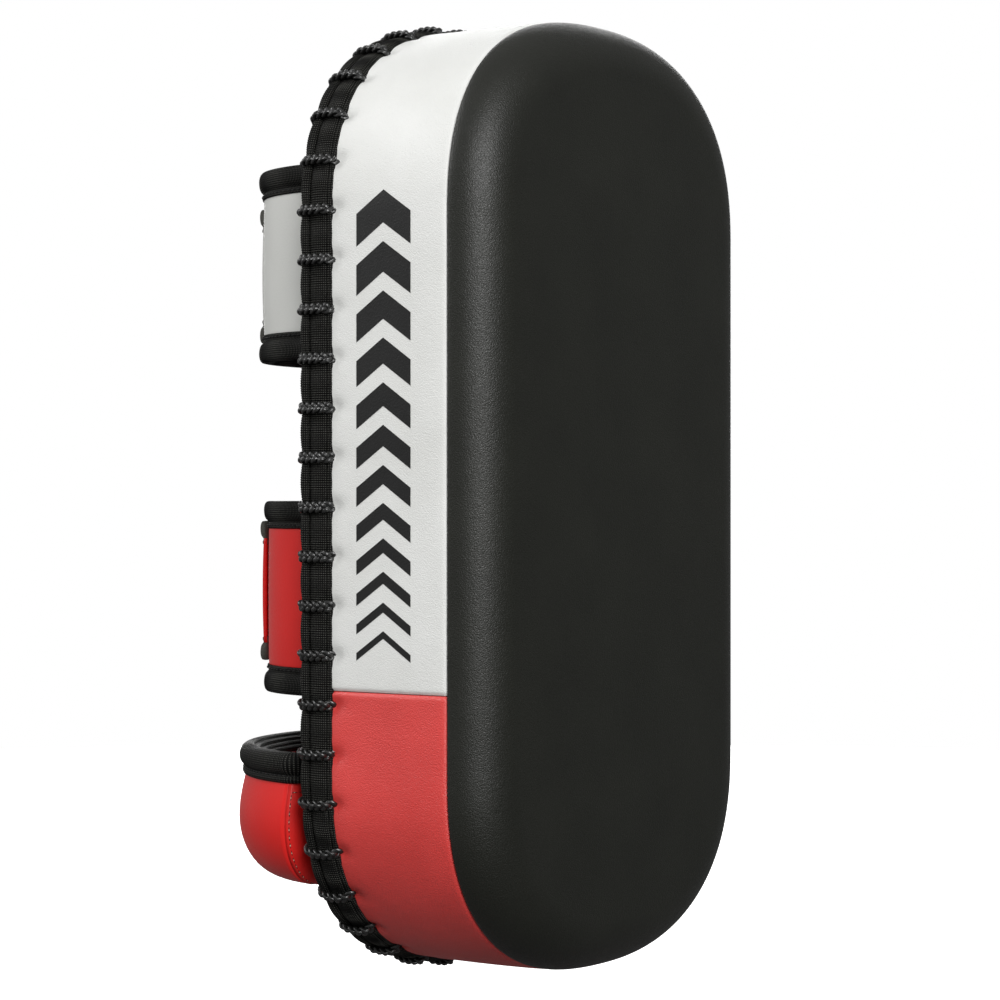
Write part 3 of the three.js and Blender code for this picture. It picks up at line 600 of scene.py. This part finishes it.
def side_wall():
    """The white leather over the top and the red one round the bottom, with a fine gap at their seams."""
    left = CAP_LENGTH + STRAIGHT_HALF - COLOUR_SEAM_Z
    right = 2 * CAP_LENGTH + 3 * STRAIGHT_HALF + COLOUR_SEAM_Z
    gusset("red", left + SEAM_GAP, right - SEAM_GAP)
    gusset("white", right + SEAM_GAP - PERIMETER, left - SEAM_GAP)


def pad_rings(profile):
    """Rings round the pad, one for each (inset, y)."""
    rings = []
    for inset, y in profile:
        x, z = resample(outline_points(inset, 500), 520, is_loop=True).T
        rings.append(np.stack([x, np.full(len(x), y), z], 1))
    return rings


def strike_face():
    """A crowned face with a rolled border. Its rings run from the seam to the flat middle."""
    profile = [(2.2, -69.0), (2.0, -71.0), (1.2, -71.15), (0.5, -71.25), (0.1, -71.6)]
    for angle in np.linspace(0, math.pi / 2, 25)[1:]:
        profile.append((CROWN_BORDER * (1 - math.cos(angle)), SEAM_Y - 0.6 - (CROWN - 0.6) * math.sin(angle)))
    border_y = profile[-1][1]
    for share in np.linspace(0, 1, 11)[1:]:
        profile.append((CROWN_BORDER + 60 * share, border_y - 0.5 * math.sin(math.pi / 2 * share)))
    piece = sweep("strike_face", pad_rings(profile), "black_leather")
    finish_piece(piece, "pad", ["strike_face_cover"])


def back_panel():
    profile = [(3.0, -2.0), (0.6, -1.9), (0.1, -1.2), (0.3, -0.5), (1.5, -0.1), (5.0, 0.0), (9.0, 0.15),
               (14.0, 0.3), (22.0, 0.3), (34.0, 0.3), (60.0, 0.3)]
    piece = sweep("back_panel_leather", pad_rings(profile), "black_leather")
    finish_piece(piece, "pad", ["back_panel"])


RIBS_A_STITCH = round(LACE_STEP / RIB_MM)


def tape_distances():
    count = STITCH_COUNT * RIBS_A_STITCH * RIB_SAMPLES
    return np.linspace(0, PERIMETER, count + 1)[:-1] + LACE_START


def rib_wave(distance):
    return np.cos(2 * math.pi * (distance - LACE_START) / (LACE_STEP / RIBS_A_STITCH))


def gusset_tape():
    """Ribbed tape over the gusset's rear edge, swollen between the stitches and pinched under them."""
    distance = tape_distances()
    swell, rib = puff(distance)[:, None], rib_wave(distance)[:, None]
    v = np.linspace(0, 1, 29)
    front = -13.7 - 1.3 * swell
    rear = -3.1 + 0.35 * swell
    y = front + (rear - front) * v
    arch = 1 - np.abs(2 * v - 1) ** 3.2
    out = 1.3 * arch + 0.85 * swell * (1 - (2 * v - 1) ** 2) - 0.3 * (1 - swell)
    groove = 0.9 * np.exp(-(((y - front - 2.4) / 0.42) ** 2))
    out = out - groove + 0.13 * rib * np.sqrt(arch + 0.02)
    inner_y = np.concatenate([rear, rear - 3, front + 3, front], 1)
    inner_out = np.array([-1.6, -2.2, -2.2, -1.0]) + 0 * inner_y
    out = np.concatenate([out, inner_out], 1)
    y = np.concatenate([y, inner_y], 1)
    points = off_outline(distance[:, None], out, y)
    piece = sweep("gusset_binding_tape", points, "black_webbing", is_ring=True)
    finish_piece(piece, "pad", ["gusset_binding"])


def back_tape():
    """Ribbed tape rolled over the back panel's edge."""
    distance = tape_distances()
    swell, rib = puff(distance)[:, None], rib_wave(distance)[:, None]
    section = curve_through([(0.1, -3.1), (1.0, -2.9), (1.55, -1.7), (1.35, -0.4), (0.5, 0.7), (-1.0, 1.4),
                             (-3.0, 1.75), (-5.0, 1.7), (-5.7, 1.35), (-6.4, 1.65), (-8.0, 1.55), (-8.9, 1.0),
                             (-8.9, -0.2), (-5, -0.6), (-2.2, -1.2), (-1.4, -2.6)], 30, is_loop=True)
    run = directions(section, is_loop=True)
    normal = np.stack([-run[:, 1], run[:, 0]], 1)
    if (normal * (section - section.mean(0))).sum() < 0:
        normal = -normal
    out, y = section.T
    is_rear = y > 0.2 * np.minimum(out, 0) - 1.0
    seen = np.where(is_rear, 1.0, 0.6 * (out > 0.6))
    shift = seen * (0.75 * swell - 0.45 * (1 - swell) + 0.12 * rib)
    points = off_outline(distance[:, None], out + normal[:, 0] * shift, y + normal[:, 1] * shift)
    piece = sweep("back_binding_tape", points, "black_webbing", is_ring=True)
    finish_piece(piece, "pad", ["back_binding"])


# The cord's middle at one stitch, as (share of the way to the next stitch, out, y).
STITCH_ROUTE = (
    (0.00, -4.0, -14.2), (0.00, -0.6, -13.4), (0.00, 1.6, -12.4), (0.00, 2.6, -10.0), (0.00, 2.85, -7.0),
    (0.00, 2.6, -3.4), (0.00, 1.9, -0.8), (0.00, 0.4, 1.0), (0.00, -2.2, 2.3), (0.00, -6.0, 3.3),
    (0.00, -9.6, 3.5), (0.00, -11.6, 2.3), (0.02, -12.2, -1.0), (0.2, -12.2, -6.0), (0.8, -9.0, -12.0),
    (0.98, -5.6, -14.2),
)
STRAND_ACROSS, STRAND_OUT, STRAND_PITCH = 1.45, 0.85, 9.3
STRAND_WIDE, STRAND_THICK = 1.1, 0.8


CORD_STEPS, STRAND_SIDES = 150, 8


def lacing():
    """Three strands plaited round the whole route of the lacing, which closes on itself."""
    middle = []
    for stitch in range(STITCH_COUNT):
        for share, out, y in STITCH_ROUTE:
            middle.append(off_outline(LACE_START + (stitch + share) * LACE_STEP, out, y))
    line = curve_through(middle, is_loop=True, count=STITCH_COUNT * CORD_STEPS)
    run = directions(line, is_loop=True)
    reach = lengths_along(line)
    total = reach[-1] + np.linalg.norm(line[0] - line[-1])
    inside = line * (0.93, 0, 0.93) + (0, -7.0, 0)
    outward = line - inside
    outward -= (outward * run).sum(1, keepdims=True) * run
    outward /= np.linalg.norm(outward, axis=1, keepdims=True)
    across = np.cross(run, outward)
    step = np.arange(len(line))
    is_seen = (line[:, 1] > -1.5) | (step % CORD_STEPS < CORD_STEPS / 2)
    # The hidden runs need only every third ring.
    keep = is_seen | (step % 3 == 0)
    plaits = round(total / STRAND_PITCH)
    turn = full_turn(STRAND_SIDES)[:, None]
    for strand in range(3):
        phase = 2 * math.pi * (reach / total * plaits + strand / 3)[:, None]
        path = line + across * STRAND_ACROSS * np.sin(phase) + outward * STRAND_OUT * np.sin(2 * phase)
        way = directions(path, is_loop=True)
        side = np.cross(way, outward)
        side /= np.linalg.norm(side, axis=1, keepdims=True)
        up = np.cross(side, way)
        rings = (path[:, None] + STRAND_WIDE * np.cos(turn) * side[:, None]
                 + STRAND_THICK * np.sin(turn) * up[:, None])[keep]
        piece = sweep(f"lacing_strand_{strand + 1}", rings, "black_cord", is_ring=True)
        finish_piece(piece, "pad", ["lacing_cord"] if strand == 0 else ())


CHEVRON_COUNT, CHEVRON_TOP_Z, CHEVRON_GAP, CHEVRON_RISE = 12, 121.0, 7.4, 9.0
CHEVRON_THICKNESS, CHEVRON_Y = (13.0, 3.0), (-54.0, -27.0)
CHEVRON_ROWS, CHEVRON_COLUMNS = 7, 17


def side_graphic(side):
    """A generic row of tapering chevrons printed on the white side wall, which they follow."""
    points, faces = [], []
    n = CHEVRON_COLUMNS
    deep = CHEVRON_ROWS * n
    top = CHEVRON_TOP_Z
    for thickness in np.linspace(*CHEVRON_THICKNESS, CHEVRON_COUNT):
        base = len(points)
        for layer in (0.12, -0.3):
            for down in np.linspace(0.0, thickness, CHEVRON_ROWS):
                for share in np.linspace(0.0, 1.0, n):
                    y = CHEVRON_Y[0] + (CHEVRON_Y[1] - CHEVRON_Y[0]) * share
                    z = top - CHEVRON_RISE * abs(2 * share - 1) - down
                    points.append((side * (pad_half_width(z) + wall_padding(y) + layer), y, z))
        for start in range(base, base + deep - n, n):
            for a in range(start, start + n - 1):
                b = a + deep
                faces += [[a, a + 1, a + n + 1, a + n], [b, b + n, b + n + 1, b + 1]]
            a, b = start, start + n - 1
            faces += [[a, a + n, a + n + deep, a + deep], [b, b + deep, b + n + deep, b + n]]
        for a in range(base, base + n - 1):
            b = a + deep - n
            faces += [[a, a + deep, a + deep + 1, a + 1], [b, b + 1, b + deep + 1, b + deep]]
        top -= thickness + CHEVRON_GAP
    if side < 0:
        faces = [f[::-1] for f in faces]
    piece = make_mesh(f"side_graphic_{'left' if side < 0 else 'right'}", points, faces, "black_print")
    piece.data.shade_flat()
    finish_piece(piece, "pad")


# ---------- straps ----------
def arch_curve(half_span, rise, power, count=1500):
    angle = np.linspace(math.pi, 0, count)
    x = half_span * np.sign(np.cos(angle)) * np.abs(np.cos(angle)) ** (2 / power)
    return np.stack([x, rise * np.sin(angle) ** (2 / power)], 1)


class Ribbon:
    """A strap's middle line in the XY plane, with its outward side. Side 1 mirrors it to start right."""

    def __init__(self, points, side):
        self.line = resample(points, step=0.25)
        run = directions(self.line)
        self.normal = np.stack([-run[:, 1], run[:, 0]], 1)
        self.reach = lengths_along(self.line)
        self.total = self.reach[-1]
        self.side = side

    def in_frame(self, x, y, z):
        return np.stack(np.broadcast_arrays(-self.side * x, y, z), -1)

    def place(self, distance, z, out):
        line = read_along(distance, self.reach, self.line)
        normal = read_along(distance, self.reach, self.normal)
        return self.in_frame(line[..., 0] + normal[..., 0] * out, line[..., 1] + normal[..., 1] * out, z)

    def outward(self, distance):
        normal = read_along(distance, self.reach, self.normal)
        return self.in_frame(normal[..., 0], normal[..., 1], 0.0)

    def distance_at(self, x):
        """Where the line, which starts at the foot, first passes an x."""
        return self.reach[np.argmax(self.line[:, 0] > x)]


def flap_arch(strap, end_x):
    """The part of a strap's arch above its foot and short of an end, with its outward side."""
    arch = arch_curve(ARCH_HALF_SPAN, strap["rise"], ARCH_POWER)
    arch = arch[(arch[:, 1] > ARCH_START_Y) & (arch[:, 0] < end_x)]
    run = directions(arch)
    return arch, np.stack([-run[:, 1], run[:, 0]], 1)


def base_ribbon(strap):
    arch, outward = flap_arch(strap, BASE_FLAP_END_X)
    middle = arch - outward * FLAPS["base"]["leather"] / 2
    foot = curve_through([(-59.0, 1.5), (-72.0, 1.5), (-74.6, 1.9), (-75.9, 3.6), middle[0]], step=0.3)
    return Ribbon(np.concatenate([foot[:-1], middle]), -1)


def closure_ribbon(strap):
    """Runs from the right foot, in mirrored X, over the base flap to the free end."""
    arch, outward = flap_arch(strap, -strap["closure_end_x"])
    over = np.clip((arch[:, :1] + 70) / 34, 0, 1)
    rise = 3.6 * over * over * (3 - 2 * over)
    middle = arch + outward * (rise - FLAPS["closure"]["leather"] / 2)
    foot = curve_through([(-59.0, 1.2), (-72.4, 1.2), (-75.0, 1.6), (-76.3, 3.4), middle[0]], step=0.3)
    return Ribbon(np.concatenate([foot[:-1], middle]), 1)


def strap_leather(name, ribbon, levels, thickness, leather):
    """A flat leather strip with soft edges, faintly pillowed and creased."""
    half = thickness / 2
    distance = np.arange(0, ribbon.total + 0.7, 1.4)[:, None]
    across = np.linspace(0, 1, 28)
    wave = 0.25 * np.sin(distance / 23.0) * np.sin(math.pi * across)
    pillow = 0.35 * np.sin(math.pi * across) ** 0.5
    z = levels[0] + (levels[1] - levels[0]) * across
    outer = ribbon.place(distance, z, half + pillow + wave)
    inner = ribbon.place(distance, z[::-1], wave[:, ::-1] - half)
    return sweep(name, np.concatenate([outer, inner], 1), leather)


def roll_section(width, thickness, lip):
    """A puffy tape roll with a flat stitched lip on its inner side, as (from the outer edge, out)."""
    roll = width - lip
    half = thickness / 2
    outer = [(0.1, 0.35 * half), (0.06 * roll, 0.75 * half), (0.25 * roll, 0.97 * half), (0.5 * roll, half),
             (0.78 * roll, 0.84 * half), (0.95 * roll, 0.45 * half), (roll + 0.1 * lip, 0.34 * half),
             (roll + 0.3 * lip, 0.52 * half), (roll + 0.65 * lip, 0.58 * half), (width - 0.15, 0.5 * half),
             (width, 0.3 * half)]
    inner = [(w, -t) for w, t in reversed(outer)]
    return curve_through(outer + inner, 34, is_loop=True)


def ribbed_section(section, reach, height):
    """A tape's section at each distance along it, swollen at the ribs by a height, as (rows, points, 2)."""
    rib = height * np.cos(2 * math.pi * reach / RIB_MM)[:, None]
    middle = section.mean(0)
    spread = section - middle
    return middle + spread * (1 + rib / np.linalg.norm(spread, axis=1))[..., None]


def edge_tape(name, ribbon, z, section, body, nodes, flip):
    """Ribbed tape along a strap's edge. flip is 1 where the edge faces down and -1 where it faces up."""
    distance = np.arange(TAPE_START, ribbon.total + 0.1, RIB_MM / RIB_SAMPLES)
    inward, out = np.moveaxis(ribbed_section(section, distance - TAPE_START, 0.07), -1, 0)
    piece = sweep(name, ribbon.place(distance[:, None], z + flip * inward, out), "black_webbing")
    finish_piece(piece, body, nodes)


def lip_stitches(name, ribbon, distance, z, out, body):
    """Thread along a line on a strap, on both faces."""
    for face, sign in (("outer", 1), ("inner", -1)):
        path = ribbon.place(distance, z, sign * out)
        piece = stitch_row(f"{name}_{face}", path, sign * ribbon.outward(distance), "black_thread")
        finish_piece(piece, body)


def foot_stitches(name, ribbon, z_low, z_high, y):
    """A stitched box and its diagonal, where a strap is sewn to the back panel."""
    near, far = ribbon.place(np.array([2.5, 12.0]), 0, 0)[:, 0]
    corners = [(near, z_low), (far, z_low), (far, z_high), (near, z_high), (near, z_low), (far, z_high)]
    line = np.array([(x, y, z) for x, z in corners])
    finish_piece(stitch_row(name, line, facing_back(line), "black_thread"), "pad")


def make_flap(strap, part, ribbon):
    """One flap: its leather, the tapes on its two edges and the thread along their lips."""
    flap = FLAPS[part]
    name = f"{strap['name']}_strap_{part}_"
    body = ("pad", f"{strap['name']}_{part}", flap["side"])
    low, high = strap[f"{part}_z"]
    levels = (low + flap["leather_inset"], high - flap["leather_inset"])
    piece = strap_leather(name + "leather", ribbon, levels, flap["leather"], strap["leather"])
    finish_piece(piece, body, [name + "flap", name + "foot"])
    width, thickness, lip = flap["tape"]
    section = roll_section(width, thickness, lip)
    distance = np.arange(TAPE_START + 2.0, ribbon.total - 2.0, 1.5)
    for edge, z, flip in (("top", high, -1), ("bottom", low, 1)):
        edge_tape(f"{name}tape_{edge}", ribbon, z, section, body, [f"{name}binding_{edge}"], flip)
        lip_z = np.full(len(distance), z + flip * (width - lip + LIP_THREAD_INSET))
        lip_stitches(f"{name}stitches_{edge}", ribbon, distance, lip_z, flap["thread_out"], body)
    return body


def make_strap(strap):
    named = f"{strap['name']}_strap_"
    base, closure = base_ribbon(strap), closure_ribbon(strap)
    make_flap(strap, "base", base)
    low, high = strap["base_z"]
    foot_stitches(named + "base_foot_stitches", base, low + 13.5, high - 13.5, 2.6)

    closure_body = make_flap(strap, "closure", closure)
    low, high = strap["closure_z"]
    end_line = np.linspace(low + 10.5, high - 10.5, 60)
    for inset in (2, 5):
        at_end = np.full(len(end_line), closure.total - inset)
        lip_stitches(f"{named}closure_end_stitches_{inset}", closure, at_end, end_line, 1.05, closure_body)
    foot_stitches(named + "closure_foot_stitches", closure, low + 11, high - 11, 2.3)

    start, end = closure.distance_at(3 - BASE_FLAP_END_X), closure.total - 8
    piece = patch(named + "hook_tape", closure, (start, end), (low + 11, high - 11), -0.95)
    finish_piece(piece, f"{strap['name']}_closure", [named + "hook_patch"])
    start, end = base.distance_at(strap["closure_end_x"] + 10), base.distance_at(BASE_FLAP_END_X - 4)
    piece = patch(named + "loop_tape", base, (start, end), (low + 10, high - 10), 1.45)
    finish_piece(piece, f"{strap['name']}_base", [named + "loop_patch"])


def patch(name, ribbon, span, levels, out):
    """A rectangle of hook or loop tape, bent with its strap. Its long edges are pressed down."""
    distance = np.arange(*span, 1.5)[:, None]
    z = np.linspace(*levels, 16)
    from_edge = np.minimum(z - levels[0], levels[1] - z)
    drop = PATCH_THICKNESS * np.exp(-((from_edge / 0.8) ** 2))
    outer = ribbon.place(distance, z, out + PATCH_THICKNESS / 2 - drop * np.sign(out) * 0.5)
    inner = ribbon.place(distance, z[::-1], out - PATCH_THICKNESS / 2)
    return sweep(name, np.concatenate([outer, inner], 1), "hook_and_loop")


# ---------- hand grip ----------
def grip_line(foot_y, step):
    arch = arch_curve(GRIP_HALF_SPAN, GRIP_RISE, GRIP_ARCH_POWER)
    return resample(arch[arch[:, 1] > foot_y], step=step)


def grip_tube(line, radius, profile, squash=1.0):
    """A tube along the grip, squashed in the XY plane, with its radius scaled by a profile along it."""
    run = directions(line)
    turn = full_turn(32)
    out = radius * squash * profile[:, None] * np.cos(turn)
    rise = radius * profile[:, None] * np.sin(turn)
    return np.stack([line[:, :1] - run[:, 1:] * out, line[:, 1:] + run[:, :1] * out, GRIP_Z + rise], -1)


def grip_sleeve():
    """Padded leather round the foam, drawn in at its ends and at the thread near them."""
    step = 0.8
    line = grip_line(15.0, step)
    share = np.linspace(0, 1, len(line))
    from_end = np.minimum(share, 1 - share) * len(line) * step
    profile = 1 - 0.22 * np.exp(-((from_end / 2.2) ** 2)) - 0.04 * np.exp(-(((from_end - 7) / 1.2) ** 2))
    rings = grip_tube(line, GRIP_RADIUS, profile + 0.012 * np.sin(share * 37))
    piece = sweep("grip_sleeve", rings, "black_leather")
    finish_piece(piece, "grip", ["grip_cover", "grip_foam"])
    for side, ring in (("left", rings[8]), ("right", rings[-9])):
        outward = ring - ring.mean(0)
        outward /= np.linalg.norm(outward, axis=1, keepdims=True)
        finish_piece(stitch_row(f"grip_stitches_{side}", ring, outward, "black_thread", is_loop=True), "grip")


def grip_core():
    step = RIB_MM / RIB_SAMPLES
    line = grip_line(1.6, step)
    ribs = 1 + 0.015 * np.cos(2 * math.pi * np.arange(len(line)) * step / RIB_MM)
    piece = sweep("grip_webbing", grip_tube(line, GRIP_CORE_RADIUS, ribs, squash=0.55), "black_webbing")
    finish_piece(piece, "grip", ["grip_core"])


def grip_anchor(side, sign):
    """A round leather patch over one end of the grip, with a stitched groove."""
    turn = full_turn(48)

    def ring(radius, y):
        return np.stack([sign * GRIP_HALF_SPAN + radius * np.cos(turn), 0 * turn + y,
                         GRIP_Z + radius * np.sin(turn)], 1)

    edge, groove = GRIP_ANCHOR_RADIUS, GRIP_ANCHOR_RADIUS - 2.7
    profile = [(2.0, 0.3), (edge - 0.4, 0.3), (edge, 0.8), (edge, 1.6), (edge - 0.6, 2.2),
               (groove + 0.6, 2.3), (groove, 2.05), (groove - 0.7, 2.4), (4.0, 2.5), (1.0, 2.5)]
    piece = sweep(f"grip_anchor_{side}", [ring(*point) for point in profile], "black_leather")
    finish_piece(piece, "pad", [f"grip_patch_{side}"])
    thread = ring(groove, 2.3)
    up = facing_back(thread)
    finish_piece(stitch_row(f"grip_anchor_stitches_{side}", thread, up, "black_thread", is_loop=True), "pad")


def make_grip():
    grip_sleeve()
    grip_core()
    grip_anchor("left", -1)
    grip_anchor("right", 1)


# ---------- elbow cup ----------
CUP_ARC_STEPS, CUP_SIDE_STEPS, CUP_FLOOR_STEPS = 72, 12, 14
CUP_TOP_Z, CUP_LINING_TOP_Z = CUP_RIM_Z - 8.0, CUP_RIM_Z - 5.8
CUP_STITCH_ROWS, CUP_STITCH_TURN = (4, 24), 5


def cup_section(z, inset, foot_z):
    """Points across the cup at one level, from the right foot round to the left one."""
    half_width, depth = CUP_HALF_WIDTH - inset, CUP_DEPTH - inset
    foot = min(CUP_FOOT_X, pad_half_width(foot_z) - CUP_FOOT_MARGIN) - inset
    seam = math.asin(CUP_SEAM_Y / depth)
    seam_x = half_width * math.cos(seam)
    sag = ((foot + seam_x) / 2 + 3, 10.4)
    side = curve_through([(foot, 0.5), (foot + 2.5, 7), sag, (seam_x, CUP_SEAM_Y)], CUP_SIDE_STEPS + 1)
    angle = seam + (math.pi - 2 * seam) * np.arange(1, CUP_ARC_STEPS) / CUP_ARC_STEPS
    arc = np.stack([half_width * np.cos(angle), depth * np.sin(angle)], 1)
    flat = np.concatenate([side, arc, side[::-1] * [-1, 1]])
    return np.stack([flat[:, 0], flat[:, 1], np.full(len(flat), z)], 1)


def cup_rows(offset, top=CUP_TOP_Z):
    """The cup's surface, drawn in by an offset, from near the rim down and across the floor."""
    bottom = CUP_FLOOR_Z + CUP_FLOOR_RISE
    bulge_top = CUP_RIM_Z - CUP_RIM_BINDING + 1
    rows = []
    for z in np.linspace(top, bottom, 12)[:-1]:
        share = max(bulge_top - z, 0) / (bulge_top - bottom)
        rows.append(cup_section(z, offset - CUP_BULGE * math.sin(math.pi / 2 * share), z))
    for turn in np.linspace(0, math.pi / 2, CUP_FLOOR_STEPS + 1):
        z = bottom - CUP_FLOOR_RISE * math.sin(turn)
        inset = CUP_FLOOR_INSET * (1 - math.cos(turn)) - CUP_BULGE
        tilt = math.atan2(CUP_FLOOR_INSET * math.sin(turn), CUP_FLOOR_RISE * math.cos(turn))
        rows.append(cup_section(z + offset * math.sin(tilt), inset + offset * math.cos(tilt), z))
    floor = rows[-1]
    foot = floor[0, 0]
    for share in np.linspace(0, 1, 16)[1:]:
        row = floor.copy()
        row[:, 0] = np.clip(row[:, 0], -foot, foot) * share + row[:, 0] * (1 - share)
        row[:, 1] = row[:, 1] * (1 - share) + 0.5 * share
        row[:, 2] += 1.5 * math.sin(math.pi * share)
        rows.append(row)
    return np.array(rows)


def shell_between(outer, inner):
    """Closed sections down the outer rows and back up the inner ones, one for each column."""
    return np.concatenate([outer.transpose(1, 0, 2), inner.transpose(1, 0, 2)[:, ::-1]], 1)


def make_cup():
    outer = cup_rows(0.0)
    shell = shell_between(outer, cup_rows(2.0))
    seam = CUP_SIDE_STEPS
    piece = sweep("elbow_cup_leather", shell[seam:-seam], "red_smooth_leather")
    finish_piece(piece, "pad", ["elbow_cup_outer"])
    for side, part in (("right", shell[:seam + 1]), ("left", shell[-seam - 1:])):
        piece = sweep(f"elbow_cup_side_panel_{side}", part, "red_smooth_leather")
        finish_piece(piece, "pad", [f"elbow_cup_side_{side}"])
    lining = shell_between(cup_rows(6.5, CUP_LINING_TOP_Z), cup_rows(8.0, CUP_LINING_TOP_Z))
    piece = sweep("elbow_cup_lining_leather", lining, "red_smooth_leather")
    finish_piece(piece, "pad", ["elbow_cup_lining", "elbow_cup_padding"])
    cup_rim()
    cup_stitches(outer)


def cup_rim():
    """Puffy ribbed tape over the rim, with a stitched lip below it and folds on its inner side."""
    step = 0.3
    path = resample(cup_section(0.0, 4.0, CUP_RIM_Z)[:, :2], step=step)
    run = directions(path)
    outward = np.stack([run[:, 1], -run[:, 0]], 1)
    section = curve_through([
        (3.9, -117.2), (5.0, -117.0), (5.6, -115.8), (5.3, -114.6), (4.5, -113.8), (5.5, -113.0),
        (6.6, -111.2), (6.9, -108.8), (6.2, -106.5), (4.6, -104.9), (2.6, -104.4), (0.9, -104.9),
        (0.4, -106.1), (-0.7, -105.9), (-1.6, -106.5), (-1.8, -107.7), (-2.9, -107.6), (-3.6, -108.3),
        (-3.8, -109.4), (-4.7, -109.5), (-5.2, -110.6), (-5.0, -111.9), (-4.0, -112.3), (0.0, -113.4),
        (2.6, -116.4)], 64, is_loop=True)
    out, z = np.moveaxis(ribbed_section(section, np.arange(len(path)) * step, 0.03), -1, 0)
    x = path[:, :1] + outward[:, :1] * out
    y = np.maximum(path[:, 1:] + outward[:, 1:] * out, 0.4)
    piece = sweep("elbow_cup_rim_tape", np.stack([x, y, z], -1), "black_webbing")
    finish_piece(piece, "pad", ["elbow_cup_rim_binding"])
    path, outward = path[6:-6:4], outward[6:-6:4]
    line = np.insert(path + outward * 5.35, 2, -114.2, axis=1)
    piece = stitch_row("elbow_cup_rim_stitches", line, np.insert(outward, 2, 0.0, axis=1), "black_thread")
    finish_piece(piece, "pad")


def cup_stitches(outer):
    """Topstitching on each side panel, beside its seam. Both ends turn towards the pad."""
    cup_middle = np.array([0.0, 20.0, -130.0])
    first, last = CUP_STITCH_ROWS
    left_column = outer.shape[1] - CUP_SIDE_STEPS
    for side, column, towards_pad in (("left", left_column, 1), ("right", CUP_SIDE_STEPS - 1, -1)):
        top = [(first, column + towards_pad * k) for k in range(CUP_STITCH_TURN, 0, -1)]
        down = [(row, column) for row in range(first, last + 1)]
        bottom = [(last, column + towards_pad * k) for k in range(1, CUP_STITCH_TURN + 1)]
        row, col = np.array(top + down + bottom).T
        line = outer[row, col]
        around = outer[row, col + 1] - outer[row, col - 1]
        normal = np.cross(around, outer[row + 1, col] - outer[row - 1, col])
        normal /= np.linalg.norm(normal, axis=1, keepdims=True)
        normal *= np.sign(((line - cup_middle) * normal).sum(1, keepdims=True))
        even, normals = resample(line, step=0.5), resample(line, step=0.5, values=normal)
        for colour, length, gap, sink in (("black", 3.1, 0.1, 0.14), ("cream", 0.9, 2.3, 0.05)):
            piece = stitch_row(f"elbow_cup_stitches_{side}_{colour}", even, normals, f"{colour}_thread",
                               length=length, gap=gap, radius=0.27, sink=sink)
            finish_piece(piece, "pad")


# ---------- hidden foam ----------
def colour_foam():
    """The foam is hidden, so the CAD's own pieces stay and only take a material."""
    for name, cad_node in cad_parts.items():
        if name.startswith("foam_"):
            cad_node.data.materials.clear()
            cad_node.data.materials.append(MATERIALS["grey_foam"])


make_studio()
side_wall()
strike_face()
back_panel()
gusset_tape()
back_tape()
lacing()
side_graphic(-1)
side_graphic(1)
for each_strap in STRAPS:
    make_strap(each_strap)
make_grip()
make_cup()
colour_foam()
